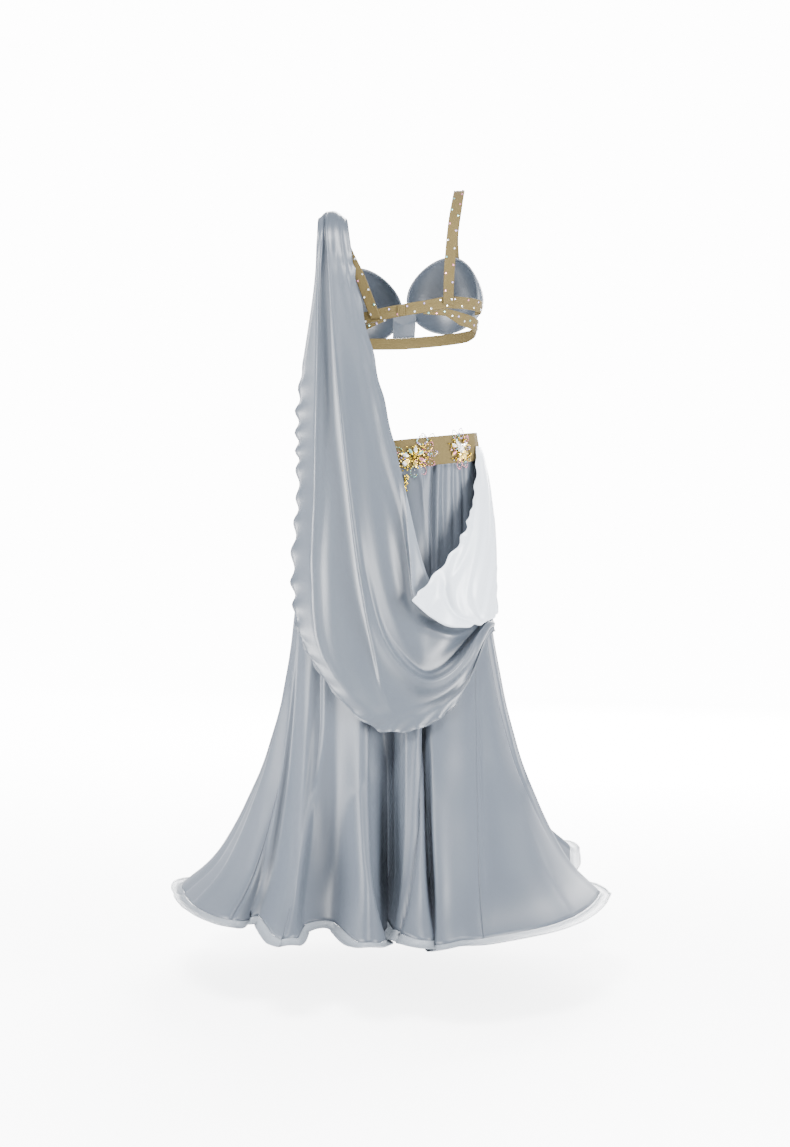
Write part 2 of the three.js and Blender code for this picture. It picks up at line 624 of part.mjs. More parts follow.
// A cup: a dome on the rib cage, drawn up to a point under its shoulder strap.
const CUP_OUT = NET_WALL / 2 + SEAM_GAP + CUP_WALL / 2;
const CUP_RADIUS = 128;
function cupPoint(side, s, t) {
  const across = s * Math.sqrt(1 - (t * t) / 2);
  const up = t * Math.sqrt(1 - (s * s) / 2);
  const reach = Math.min(across * across + up * up, 1);
  const spread = THREE.MathUtils.radToDeg((across * CUP_HALF_WIDTH) / CUP_RADIUS);
  const angle = 180 - side * (CUP_ANGLE + spread);
  const peak = up > 0 ? 1 + 0.22 * up * up : 1;
  const tilt = side * CUP_ANGLE * CUP_TILT_PER_DEGREE;
  const z = CUP_Z + tilt + up * CUP_HALF_HEIGHT * peak;
  const dome = CUP_DOME * (1 - reach) ** 0.68 * (1 - 0.25 * up);
  return torsoPoint(angle, z, CUP_OUT + dome);
}

function braCup(side) {
  const point = (u, v) => cupPoint(side, 2 * u - 1, 1 - 2 * v);
  return wallGeometry({ point, uSteps: 10, vStops: evenStops(10), wall: CUP_WALL });
}

// The short bridge between the cups, above the lower strap.
function centreBridge() {
  const point = (u, v) => {
    const angle = mix(171, 189, u);
    const z = mix(bandLine(angle, 'band') + 14, bandLine(angle, 'strapTop') + SEAM_GAP, v);
    return torsoPoint(angle, z, 0);
  };
  return wallGeometry({ point, uSteps: 5, vStops: [0, 1], wall: NET_WALL });
}

// A shoulder strap: a flat ribbon along a curve. Each station gives x, y, z and the way that
// the ribbon's width is turned about Z, in degrees.
function shoulderStrap(stations) {
  const point = (u, v) => {
    const at = (column) => smoothThrough(stations.map((station) => station[column]), v);
    const turn = radians(at(3));
    const side = (u - 0.5) * STRAP_WIDTH;
    return new THREE.Vector3(at(0) + side * Math.cos(turn), at(1) + side * Math.sin(turn), at(2));
  };
  return wallGeometry({ point, uSteps: 1, vStops: evenStops(20), wall: NET_WALL });
}

// Where a strap is sewn on the band: on its outer face, turned as the band is there. The sag
// is how far the band's straight facets lie inside its curve under that strap.
function bandSeat(angle, sag) {
  const z = bandLine(angle, 'band') - 4;
  const seat = torsoPoint(angle, z, NET_WALL + SEAM_GAP - sag);
  const along = torsoPoint(angle + 3, z, 0).sub(torsoPoint(angle - 3, z, 0));
  return [seat.x, seat.y, seat.z, THREE.MathUtils.radToDeg(Math.atan2(along.y, along.x))];
}

// Where a strap is sewn on a cup's outer face, near its point.
const CUP_SEAT = { s: 0.05, t: 0.84 };
function cupSeat(side) {
  const { s, t } = CUP_SEAT;
  const across = cupPoint(side, s + 0.05, t).sub(cupPoint(side, s - 0.05, t));
  const down = cupPoint(side, s, t - 0.05).sub(cupPoint(side, s, t + 0.05));
  const normal = across.clone().cross(down).normalize();
  if (normal.y < 0) normal.negate();
  const out = (CUP_WALL + NET_WALL) / 2 + SEAM_GAP + FACET_ROOM;
  const seat = cupPoint(side, s, t).addScaledVector(normal, out);
  return [seat.x, seat.y, seat.z, side * -28];
}

const RIGHT_STRAP = [
  bandSeat(33, 0.75), [91, -99, 320, 10], [98, -88, 396, 4], [108, -46, 452, 0], [112, 2, 469, 0],
  [109, 52, 446, 0], [103, 90, 392, -14], cupSeat(1),
];
const LEFT_STRAP = [
  bandSeat(-22, 0), [-74, -98, 300, -8], [-97, -82, 350, -4], [-115, -43, 402, 0], [-122, 0, 428.1, 0],
  [-117, 38, 402, 0], [-101, 84, 356, 14], cupSeat(-1),
];

// The hook-and-eye tab that closes the band at the middle of the back.
function hookTab() {
  const out = NET_WALL + SEAM_GAP;
  const point = (u, v) => {
    const angle = mix(HOOK_ANGLE - 2.6, HOOK_ANGLE + 2.6, u);
    return torsoPoint(angle, bandLine(angle, 'band') + (BAND_HEIGHT - 2) * (0.5 - v), out);
  };
  return wallGeometry({ point, uSteps: 3, vStops: [0, 1], wall: NET_WALL });
}

// ---- materials and assembly ---------------------------------------------------------------

const FINISHES = {
  satin: { color: 0xb4bcc6, roughness: 0.35, metalness: 0.05 },
  satinFlap: { color: 0xe2e8ee, roughness: 0.35, metalness: 0.05 },
  braid: { color: 0xcfd5da, roughness: 0.5, metalness: 0 },
  powerNet: { color: 0xc0a479, roughness: 0.8, metalness: 0 },
  stones: { color: 0xd9cfd8, roughness: 0.15, metalness: 0.4 },
  gold: { color: 0xb08a3c, roughness: 0.3, metalness: 1 },
};

const dress = new THREE.Group();

function addPiece(name, geometry, finish) {
  const mesh = new THREE.Mesh(geometry, new THREE.MeshStandardMaterial(FINISHES[finish]));
  mesh.name = name;
  dress.add(mesh);
}

SKIRT_GORES.forEach((gore) => addPiece(gore.name, skirtGore(gore), 'satin'));
addPiece('hem_braid', hemBraid(), 'braid');
addPiece('hip_belt', hipBelt(), 'powerNet');
APPLIQUE.forEach((flower, k) => {
  addPiece(`applique_${k + 1}`, appliqueFlower(flower), 'stones');
  if (flower.dropOut !== null) addPiece(`bead_drop_${k + 1}`, beadDrop(flower), 'gold');
});
addPiece('drape_back', backDrape(), 'satin');
addPiece('drape_hip_flap', hipFlap(), 'satinFlap');
addPiece('bra_band_right', braBand(HOOK_ANGLE, 112), 'powerNet');
addPiece('bra_band_left', braBand(-112, HOOK_ANGLE), 'powerNet');
addPiece('bra_hook_tab', hookTab(), 'powerNet');
addPiece('bra_lower_strap', lowerStrap(), 'powerNet');
addPiece('bra_cup_right', braCup(1), 'satin');
addPiece('bra_cup_left', braCup(-1), 'satin');
addPiece('bra_centre_bridge', centreBridge(), 'satin');
addPiece('bra_strap_right', shoulderStrap(RIGHT_STRAP), 'powerNet');
addPiece('bra_strap_left', shoulderStrap(LEFT_STRAP), 'powerNet');

export default dress;
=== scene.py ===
# %% [markdown]
# # A belly dance dress
# The costume is a long satin skirt gathered to a hip belt, a satin drape that hangs from the
# left shoulder and is caught up at the right hip, and a bra of skin-tone stretch net with
# satin cups. Small stones are glued to the straps and flowers of stones are sewn on the belt.
# This lesson builds each piece as a surface worked out with numpy, in the frame of a packed
# model that already fixes every size. Lengths are in millimetres until a mesh is made.

# %% Load the frame
import itertools
import math

import bpy
import numpy as np
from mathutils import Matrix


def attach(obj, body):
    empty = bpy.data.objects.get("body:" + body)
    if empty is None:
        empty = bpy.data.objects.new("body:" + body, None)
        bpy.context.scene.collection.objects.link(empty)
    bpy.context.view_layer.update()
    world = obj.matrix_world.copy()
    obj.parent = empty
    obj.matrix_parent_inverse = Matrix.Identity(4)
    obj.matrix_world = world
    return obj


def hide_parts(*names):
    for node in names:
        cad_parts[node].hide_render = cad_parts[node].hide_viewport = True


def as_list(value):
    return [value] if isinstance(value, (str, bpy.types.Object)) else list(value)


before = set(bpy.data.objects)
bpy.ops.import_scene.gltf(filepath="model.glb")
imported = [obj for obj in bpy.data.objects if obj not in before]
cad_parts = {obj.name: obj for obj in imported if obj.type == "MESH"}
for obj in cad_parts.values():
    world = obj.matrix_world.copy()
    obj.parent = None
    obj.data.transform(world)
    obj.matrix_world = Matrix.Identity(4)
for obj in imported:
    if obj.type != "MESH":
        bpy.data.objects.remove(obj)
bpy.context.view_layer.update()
MM = 0.001
TAU = 2 * math.pi
rng = np.random.default_rng(11)
print("nodes in the frame:", len(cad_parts))

# %% [markdown]
# ## Curves through a few numbers
# A fold is easiest to place at a few stations. A cubic through those stations gives
# every point between them. The same formula serves one number, a point or a whole table.
# Tables of numbers are written as text, with a comma between two rows or two stations.

# %% Curves and tables
def smooth_through(values, t, wraps=False):
    """Hermite cubic through the values, t from 0 to 1: each slope is half the step between
    the two neighbours. Values may be numbers or rows of numbers."""
    values = np.asarray(values, float)
    n = len(values)
    span = n if wraps else n - 1
    place = np.clip(t, 0, 1) * span
    i = np.minimum(np.floor(place).astype(int), span - 1)
    f = (place - i).reshape(np.shape(place) + (1,) * (values.ndim - 1))
    at = (lambda k: values[k % n]) if wraps else (lambda k: values[np.clip(k, 0, n - 1)])
    here, after = at(i), at(i + 1)
    slope_here = (after - at(i - 1)) / 2
    slope_after = (at(i + 2) - here) / 2
    return ((2 * f**3 - 3 * f**2 + 1) * here + (f**3 - 2 * f**2 + f) * slope_here
            + (3 * f**2 - 2 * f**3) * after + (f**3 - f**2) * slope_after)


def eased(x, stops, values, reach=0.035, left=None):
    """Values read straight between their stops, then averaged over a short stretch round x,
    so that the surface has no kink where it passes a stop."""
    shifts = np.linspace(-reach, reach, 9)
    return sum(np.interp(x + shift, stops, values, left=left) for shift in shifts) / len(shifts)


def number_rows(text):
    """The numbers of a text with commas between its rows."""
    return np.array([row.split() for row in text.split(",")], float)


def table(columns, text):
    """A table of numbers from text: column name to array."""
    return dict(zip(columns.split(), number_rows(text).T))


def read_table(rows, at, name):
    """A table's column read at a value of its first column, straight between its rows."""
    key = next(iter(rows.values()))
    order = np.argsort(key)
    return np.interp(at, key[order], rows[name][order])


def fold_table(text):
    """Folds from text: name, widths and shift, stations. A line that starts blank runs on."""
    folds = []
    for row in text.strip().replace("\n ", "").splitlines():
        name, sizes, line = row.split(":")
        left, right, shift = map(float, sizes.split())
        folds.append(dict(left=left, right=right, shift=shift, sharp=name.endswith("*"),
                          line=number_rows(line)))
    return folds


def mix(a, b, t):
    """Straight blend from a (t = 0) to b (t = 1)."""
    return a + (b - a) * t


def bell(x):
    """A soft bump, 1 at x = 0 and near 0 past 2: exp(-x²)."""
    return np.exp(-x * x)


def unit(vectors):
    """The same directions with length 1."""
    return vectors / np.maximum(np.linalg.norm(vectors, axis=-1, keepdims=True), 1e-9)


def lengths_along(points):
    """How far along a line each of its points lies, from 0."""
    steps = np.linalg.norm(np.diff(points, axis=0), axis=-1)
    return np.concatenate([np.zeros_like(steps[:1]), np.cumsum(steps, axis=0)])


# %% [markdown]
# ## The figure under the costume
# Nothing of the wearer is built. The skirt, belt and bra still need round sections to lie on,
# so the hips and the rib cage are two short tables of ellipses. Angles turn about Z: 0 is the
# middle of the back, 90 the wearer's right side and 180 the front.

# %% Sections of the hips and the rib cage
HIP_SECTIONS = table("z half_width half_depth centre_x", """
20 143 98 1, 0 148 102 0, -53 160 112 -4, -110 170 119 -12, -230 172 121 -17, -900 172 121 -17
""")
TORSO_SECTIONS = table("z half_width half_depth centre_x", "180 132 93 7, 250 146 101 9, 360 150 98 9")


def section_point(sections, angle, z, out):
    """A point on an ellipse: x = cx + a sin, y = -b cos, moved out along the ellipse's normal."""
    angle, z, out = np.broadcast_arrays(*(np.asarray(k, float) for k in (angle, z, out)))
    a = read_table(sections, z, "half_width")
    b = read_table(sections, z, "half_depth")
    turn = np.radians(angle)
    nx, ny = np.sin(turn) / a, -np.cos(turn) / b
    length = np.hypot(nx, ny)
    x = read_table(sections, z, "centre_x") + a * np.sin(turn) + out * nx / length
    y = -b * np.cos(turn) + out * ny / length
    return np.stack([x, y, z], -1)


def hip_point(angle, z, out=0.0):
    """A point on the hips, or so far off them."""
    return section_point(HIP_SECTIONS, angle, z, out)


def torso_point(angle, z, out=0.0):
    """A point on the rib cage, or so far off it."""
    return section_point(TORSO_SECTIONS, angle, z, out)


print("hip ellipse at the belt's top:", hip_point(np.array([0, 90]), np.zeros(2)).round())

# %% [markdown]
# ## From a grid of points to a mesh
# Each cloth piece is a grid of rows and columns of points. One helper turns a grid into a
# mesh with a UV map measured in metres, so that a weave keeps its real size. A second one
# gives the grid its normals, along which folds are raised. Solidify then gives the cloth its
# thickness.

# %% Grid helpers
def grid_normals(points):
    """Unit normals of a grid of points: down x across, with differences taken both ways."""
    return unit(np.cross(np.gradient(points, axis=0), np.gradient(points, axis=1)))


def grid_faces(rows, columns, closed=False, wraps=False):
    """Four-sided faces of a grid, as the corner numbers of each cell, turned to face along the
    normal. A closed grid joins its sides, and one that wraps also joins its ends."""
    i = np.arange(columns if closed else columns - 1)
    j = np.arange(rows if wraps else rows - 1)[:, None]
    a, b = j * columns + i, j * columns + (i + 1) % columns
    corners = np.stack([a, a + columns, b + columns, b], -1) % (rows * columns)
    return corners.reshape(-1, 4).tolist()


def even_grid(start, end, columns, rows):
    """Even values from start to end across and from 0 to 1 down, as two grids."""
    return np.meshgrid(np.linspace(start, end, columns), np.linspace(0, 1, rows))


def set_grid_uv(mesh, points, closed):
    """Writes a UV map in metres: u along the mean length across, v along the mean length down."""
    rows, columns = points.shape[:2]
    ring = np.concatenate([points, points[:, :1]], 1) if closed else points
    u = lengths_along(np.swapaxes(ring, 0, 1)).mean(1) * MM
    v = lengths_along(points).mean(1) * MM
    corner = np.empty(len(mesh.loops), np.int32)
    mesh.loops.foreach_get("vertex_index", corner)
    i, j = corner % columns, corner // columns
    cell = np.repeat(np.arange(len(mesh.polygons)), 4)
    last_cell = (cell % columns) == columns - 1
    i = np.where(closed & last_cell & (i == 0), columns, i)
    layer = mesh.uv_layers.new(name="cloth")
    layer.data.foreach_set("uv", np.stack([u[i], v[j]], -1).astype(np.float32).ravel())


def make_object(name, vertices, faces, material, smooth=True):
    """A mesh object at the origin from points in millimetres and a list of faces."""
    mesh = bpy.data.meshes.new(name)
    mesh.from_pydata((np.asarray(vertices) * MM).tolist(), [], faces)
    mesh.validate()
    mesh.polygons.foreach_set("use_smooth", np.full(len(mesh.polygons), smooth))
    piece = bpy.data.objects.new(name, mesh)
    bpy.context.scene.collection.objects.link(piece)
    piece.data.materials.append(material)
    return piece


def grid_object(name, points, material, wall, closed=False):
    """A cloth piece from a grid of points, given its thickness evenly to both sides."""
    rows, columns = points.shape[:2]
    piece = make_object(name, points.reshape(-1, 3), grid_faces(rows, columns, closed), material)
    set_grid_uv(piece.data, points, closed)
    shell = piece.modifiers.new("thickness", "SOLIDIFY")
    shell.thickness = wall * MM
    shell.offset = 0
    shell.use_even_offset = False
    return piece


def grid_area(points):
    """The surface of a grid in square metres, from the two diagonals of each cell."""
    one, two = points[1:, 1:] - points[:-1, :-1], points[1:, :-1] - points[:-1, 1:]
    return float(np.linalg.norm(np.cross(one, two), axis=-1).sum() / 2) * MM * MM


print("grid helpers ready")

# %% [markdown]
# ## Satin
# Satin is woven with long floats, so it is smooth, and its highlight is broad and soft and
# lies across the threads. Three effects make it: slow changes of tone where the cloth has
# been handled, fine uneven thread lines, and a weak bump of long soft ripples. They sit in one
# node group, because the skirt, the drape and the cups all use them.

# %% The satin weave group
def connect(tree, socket, value):
    """Gives one input another node's output, or a number or colour."""
    if isinstance(value, bpy.types.NodeSocket):
        tree.links.new(value, socket)
    else:
        socket.default_value = value


def feed(tree, node, **inputs):
    """Connects a node's inputs by name, with spaces written as _."""
    for key, value in inputs.items():
        connect(tree, node.inputs[key.replace("_", " ")], value)
    return node


def add_node(tree, kind, settings=None, **inputs):
    """One node with its settings and inputs."""
    node = tree.nodes.new(kind)
    for key, value in (settings or {}).items():
        setattr(node, key, value)
    return feed(tree, node, **inputs)


def new_group(name, inputs, outputs):
    """A shader node group with named sockets: inputs give (name, type, default)."""
    group = bpy.data.node_groups.new(name, "ShaderNodeTree")
    for socket_name, kind, default in inputs:
        socket = group.interface.new_socket(socket_name, in_out="INPUT", socket_type=kind)
        socket.default_value = default
    for socket_name, kind in outputs:
        group.interface.new_socket(socket_name, in_out="OUTPUT", socket_type=kind)
    return group, group.nodes.new("NodeGroupInput").outputs, group.nodes.new("NodeGroupOutput")


def group_node(tree, group, **inputs):
    """The outputs of a node that uses a group."""
    return add_node(tree, "ShaderNodeGroup", {"node_tree": group}, **inputs).outputs


def new_material(name, **constants):
    """A material with one Principled shader, and constants on the shader's own inputs."""
    material = bpy.data.materials.new(name)
    material.use_nodes = True
    tree = material.node_tree
    return material, tree, feed(tree, tree.nodes["Principled BSDF"], **constants)


def math_node(tree, operation, *values):
    """The result of a Math node on numbers or other nodes' outputs."""
    node = add_node(tree, "ShaderNodeMath", {"operation": operation})
    for socket, value in zip(node.inputs, values):
        connect(tree, socket, value)
    return node.outputs[0]


def noise_of(tree, vector, scale, detail=2.0, stretch=(1, 1, 1)):
    """Noise on a stretched vector, as a value round 0.5."""
    place = add_node(tree, "ShaderNodeMapping", Vector=vector, Scale=stretch).outputs["Vector"]
    return add_node(tree, "ShaderNodeTexNoise", Vector=place, Scale=scale, Detail=detail).outputs["Fac"]


def range_of(tree, value, from_low, from_high, to_low, to_high):
    """A value carried from one range to another."""
    return add_node(tree, "ShaderNodeMapRange", Value=value, From_Min=from_low, From_Max=from_high,
                    To_Min=to_low, To_Max=to_high).outputs["Result"]


def bump_of(tree, height, distance, strength, **before):
    """A normal bent by a height; before may name the normal that it starts from."""
    return add_node(tree, "ShaderNodeBump", Height=height, Distance=distance, Strength=strength,
                    **before).outputs["Normal"]


def shade_of(tree, colour, factor):
    """A colour multiplied by a value."""
    node = add_node(tree, "ShaderNodeMix", {"data_type": "RGBA", "blend_type": "MULTIPLY"}, Factor=1.0)
    connect(tree, node.inputs[6], colour)
    connect(tree, node.inputs[7], factor)
    return node.outputs[2]


COLOUR, NUMBER, VECTOR = "NodeSocketColor", "NodeSocketFloat", "NodeSocketVector"


def build_satin_group():
    """Tone, threads and ripples of satin from noise, as colour, roughness and normal."""
    group, given, out = new_group(
        "satin weave", [("Colour", COLOUR, (0.6, 0.64, 0.7, 1)), ("Ripple", NUMBER, 0.5)],
        [("Colour", COLOUR), ("Roughness", NUMBER), ("Normal", VECTOR)])
    place = add_node(group, "ShaderNodeTexCoord").outputs
    tone = noise_of(group, place["Object"], 5.0, 2.0, (1, 1, 0.4))
    thread = noise_of(group, place["UV"], 900.0, 1.0, (1.0, 0.12, 1.0))
    ripple = noise_of(group, place["Object"], 9.0, 2.0, (1, 1, 0.22))
    shade = math_node(group, "MULTIPLY", math_node(group, "MULTIPLY_ADD", tone, 0.10, 0.95),
                      math_node(group, "MULTIPLY_ADD", thread, 0.03, 0.985))
    rippled = bump_of(group, ripple, 0.004, given["Ripple"])
    feed(group, out, Colour=shade_of(group, given["Colour"], shade),
         Roughness=math_node(group, "MULTIPLY_ADD", tone, 0.10, 0.38),
         Normal=bump_of(group, thread, 0.00005, 0.08, Normal=rippled))
    return group


SATIN_WEAVE = build_satin_group()


def satin_material(name, colour, ripple, gloss=0.40):
    """Satin in one colour: the weave group feeds colour, roughness and normal."""
    material, tree, shader = new_material(
        name, Specular_IOR_Level=gloss, Anisotropic=0.6, Anisotropic_Rotation=0.25)
    weave = group_node(tree, SATIN_WEAVE, Colour=colour, Ripple=ripple)
    feed(tree, shader, Base_Color=weave["Colour"], Roughness=weave["Roughness"], Normal=weave["Normal"])
    return material


SATIN = satin_material("silver satin", (0.044, 0.054, 0.069, 1), 0.08, gloss=0.62)
SKIRT_SATIN = satin_material("skirt satin", (0.058, 0.068, 0.084, 1), 0.08, gloss=0.28)
SATIN_REVERSE = satin_material("satin reverse", (0.45, 0.49, 0.54, 1), 0.1, gloss=1.0)
# A darker copy of the reverse for the drape's turned edge: painted shade, where that strip faces away from
# the light.
SATIN_SHADED = satin_material("satin reverse in shade", (0.11, 0.126, 0.150, 1), 0.1)
print("satin materials:", SATIN.name, "and", SATIN_REVERSE.name)

# %% [markdown]
# ## Stretch net
# The belt and the straps are power net: a matte knit with tiny holes in rows. The holes are
# far too many to cut, so the group darkens and sinks them, on the piece's own UV map.

# %% The net group and its material
def build_net_group():
    """Rows of tiny holes: cells that darken and sink towards their middles."""
    group, given, out = new_group(
        "power net", [("Colour", COLOUR, (0.6, 0.47, 0.3, 1)), ("Scale", NUMBER, 900.0)],
        [("Colour", COLOUR), ("Normal", VECTOR)])
    place = add_node(group, "ShaderNodeTexCoord").outputs
    holes = add_node(group, "ShaderNodeTexVoronoi", {"feature": "F1"}, Vector=place["UV"],
                     Scale=given["Scale"], Randomness=0.12)
    mask = range_of(group, holes.outputs["Distance"], 0.12, 0.42, 0.62, 1.0)
    tone = noise_of(group, place["Object"], 22.0, 3.0)
    shade = math_node(group, "MULTIPLY", mask, math_node(group, "MULTIPLY_ADD", tone, 0.22, 0.88))
    feed(group, out, Colour=shade_of(group, given["Colour"], shade),
         Normal=bump_of(group, mask, 0.0003, 0.6))
    return group


POWER_NET = build_net_group()


def net_material(name, colour):
    """Skin-tone net: matte, with a little sheen from its fuzzy yarn."""
    material, tree, shader = new_material(name, Roughness=0.8, Sheen_Weight=0.03, Specular_IOR_Level=0.12)
    knit = group_node(tree, POWER_NET, Colour=colour, Scale=1000.0)
    feed(tree, shader, Base_Color=knit["Colour"], Normal=knit["Normal"])
    return material


NET = net_material("skin-tone net", (0.084, 0.062, 0.023, 1))
print("net material:", NET.name)

# %% [markdown]
# ## Horsehair braid
# The hem is held out by a stiff sheer braid of crossed filaments. Two sets of slanting lines
# on the UV map give the crossed filaments, and the spaces between them let light through.

# %% The braid material
def build_braid_material():
    """Two sets of slanting lines: the cloth is clearer and darker between them."""
    material, tree, shader = new_material("horsehair braid", Roughness=0.3, Specular_IOR_Level=0.6)
    place = add_node(tree, "ShaderNodeTexCoord").outputs["UV"]
    threads = []
    for slant in (0.8, -0.8):
        turned_place = add_node(tree, "ShaderNodeMapping", Vector=place, Rotation=(0, 0, slant))
        lines = add_node(tree, "ShaderNodeTexWave", Vector=turned_place.outputs["Vector"], Scale=260.0,
                         Distortion=0.6, Detail=1.0)
        threads.append(lines.outputs["Fac"])
    crossed = math_node(tree, "MAXIMUM", *threads)
    base = add_node(tree, "ShaderNodeRGB").outputs[0]
    base.default_value = (0.17, 0.19, 0.215, 1)
    feed(tree, shader, Base_Color=shade_of(tree, base, range_of(tree, crossed, 0, 1, 0.85, 1)),
         Alpha=range_of(tree, crossed, 0, 1, 0.84, 1), Normal=bump_of(tree, crossed, 0.0004, 0.5))
    return material


BRAID = build_braid_material()
print("braid material:", BRAID.name)

# %% [markdown]
# ## The skirt's outline
# A circle-cut skirt hangs straight from the hips and opens into flutes. Its hem line is a
# closed curve through named ridges and valleys. Each of them also has the angle at which it
# leaves the hips, so the creases between flutes can lean, as they do in cloth.

# %% Tables of the skirt
BELT_HEIGHT, BELT_RISE = 53, 0.1
HEM_Z, BRAID_HEIGHT, BRAID_LENGTH = -878, 20, 24
SATIN_WALL, NET_WALL, BRAID_WALL, SEAM_GAP = 1.2, 1.5, 1.0, 0.3
GATHERS = 44
# How far the belt holds the cloth in, how soon that eases, and how far pleats may stand out.
HELD_IN, HELD_REACH, STAND_OUT, STAND_OUT_GROWTH = 2.6, 0.12, 1.2, 30
SKIRT_FLARE = table("drop flare", """
0 0, .12 .004, .25 .03, .41 .1, .55 .19, .69 .33, .82 .53, .91 .71, .965 .88, 1 1
""")
# Ridges and valleys of the hem: name, angle at the hips, x and y at the hem, lift of the hem.
HEM_FLUTES = """
left_side_ridge -100 -427 87 0, left_back_ridge -89 -388 -120 0, left_back_turn -82 -312 -256 0,
first_crease -76 -250 -244 4, second_ridge -60 -205 -370 -10, second_crease -44 -180 -288 2,
third_hollow -35 -112 -272 2, third_ridge -15 -50 -386 -12, deep_valley -3 -22 -190 6,
fourth_hollow 8 0 -330 2, fourth_ridge 16 47 -386 -8, narrow_crease 20.5 59 -286 2,
fifth_ridge 25 72 -392 -12, fifth_front 46 104 -404 -6, right_back_seam 68 144 -396 -4,
right_back_turn 77 258 -318 0, right_back_ridge 84 338 -180 0, right_side_ridge 92 380 -30 0,
right_side_turn 100 368 62 2, right_side_valley 108 314 124 6, right_front_turn 115 344 204 24,
right_front_ridge 123 336 292 44, right_front_fall 131 262 318 18, right_front_valley 139 200 248 6,
front_right_turn 148 190 350 -2, front_right_ridge 157 116 396 -4, front_right_valley 166 66 286 4,
front_turn 175 34 386 -6, front_ridge 186 -70 392 -6, front_valley 196 -106 276 4,
front_left_turn 204 -156 370 -4, front_left_ridge 213 -236 340 -2, front_left_valley 222 -250 250 4,
left_front_turn 231 -322 286 0, left_front_ridge 241 -386 208 0, left_front_valley 250 -362 138 4
"""
flute_rows = [row.split() for row in HEM_FLUTES.split(",")]
FLUTE_NUMBER = {name: k for k, (name, *numbers) in enumerate(flute_rows)}
FLUTES = np.array([numbers for name, *numbers in flute_rows], float)
FLUTE_ANGLE, FLUTE_PLAN = FLUTES[:, 0], FLUTES[:, 1:]


def hip_angle(t):
    """The angle at which the cloth leaves the hips, t turns along the list of flutes."""
    n = len(FLUTE_ANGLE)
    angles = np.append(FLUTE_ANGLE, FLUTE_ANGLE[0] + 360)
    return np.interp((t % 1) * n, np.arange(n + 1), angles) + 360 * np.floor(t)


# How far round the cloth each sample of the hem is: by angle, by hem length and by count.
hem_t = np.linspace(0, 1, 1401)
hem_line = smooth_through(FLUTE_PLAN, hem_t, wraps=True)
hem_length = lengths_along(hem_line[:, :2])
hem_angle = hip_angle(np.minimum(hem_t, 1 - 1e-12))
by_angle, by_length = (hem_angle - FLUTE_ANGLE[0]) / 360, hem_length / hem_length[-1]
cloth_fraction = 0.5 * by_angle + 0.35 * by_length + 0.15 * hem_t


def flute_place(fraction):
    """Turns along the list of flutes, from a fraction of the way round the cloth."""
    return np.interp(fraction % 1, cloth_fraction, hem_t) + np.floor(fraction)


def fraction_of(name, shift=0.0):
    """The fraction of the way round the cloth of a named flute, shifted by so many flutes."""
    t = (FLUTE_NUMBER[name] + shift) / len(FLUTES)
    return float(np.interp(t % 1, hem_t, cloth_fraction) + math.floor(t))


print("hem line: %.2f m round" % (hem_length[-1] * MM))

# %% [markdown]
# ## Gathers and folds
# Real gathers are uneven: some pleats are wide, some pinch together, and a few run far down.
# They are a sum of three waves of different counts, each with a slow change of strength.
# Below them, single soft folds are placed one by one: each is a bell-shaped ridge or trough along
# a line between two flutes.

# %% The skirt surface
def gather_wave(fraction, drop):
    """Uneven pleats at the belt: three waves round the skirt that fade at their own depths."""
    f = fraction * TAU
    slow = 0.7 + 0.3 * np.sin(5 * f + 1.0)
    fine = np.cos(GATHERS * f + 0.6 * np.sin(7 * f)) * np.exp(-drop / 0.04) * slow
    middle = np.cos(26 * f + 1.1 * np.sin(3 * f + 0.4)) * np.exp(-drop / 0.11)
    long = np.cos(15 * f + 0.8 * np.sin(4 * f)) * np.exp(-((drop - 0.12) / 0.16) ** 2)
    return 0.5 * fine + 0.7 * middle + 0.8 * long


def skirt_surface(fraction, drop):
    """The skirt: the hip ellipse blends into the fluted hem line as the flare grows with drop."""
    t = flute_place(fraction)
    angle = hip_angle(t)
    hem = smooth_through(FLUTE_PLAN, t % 1, wraps=True)
    flare = eased(drop, *SKIRT_FLARE.values())
    edge = hip_point(angle, np.full_like(angle, -BELT_HEIGHT))
    top_z = -BELT_HEIGHT - 2 * SEAM_GAP + BELT_RISE * edge[..., 0]
    z = mix(top_z, HEM_Z + hem[..., 2], drop)
    pleats = gather_wave(fraction, drop) - HELD_IN * np.exp(-drop / HELD_REACH)
    out = np.minimum(pleats, STAND_OUT + STAND_OUT_GROWTH * drop) - SATIN_WALL / 2
    hip = hip_point(angle, z, out)
    return np.concatenate([mix(hip[..., :2], hem[..., :2], flare[..., None]), z[..., None]], -1)
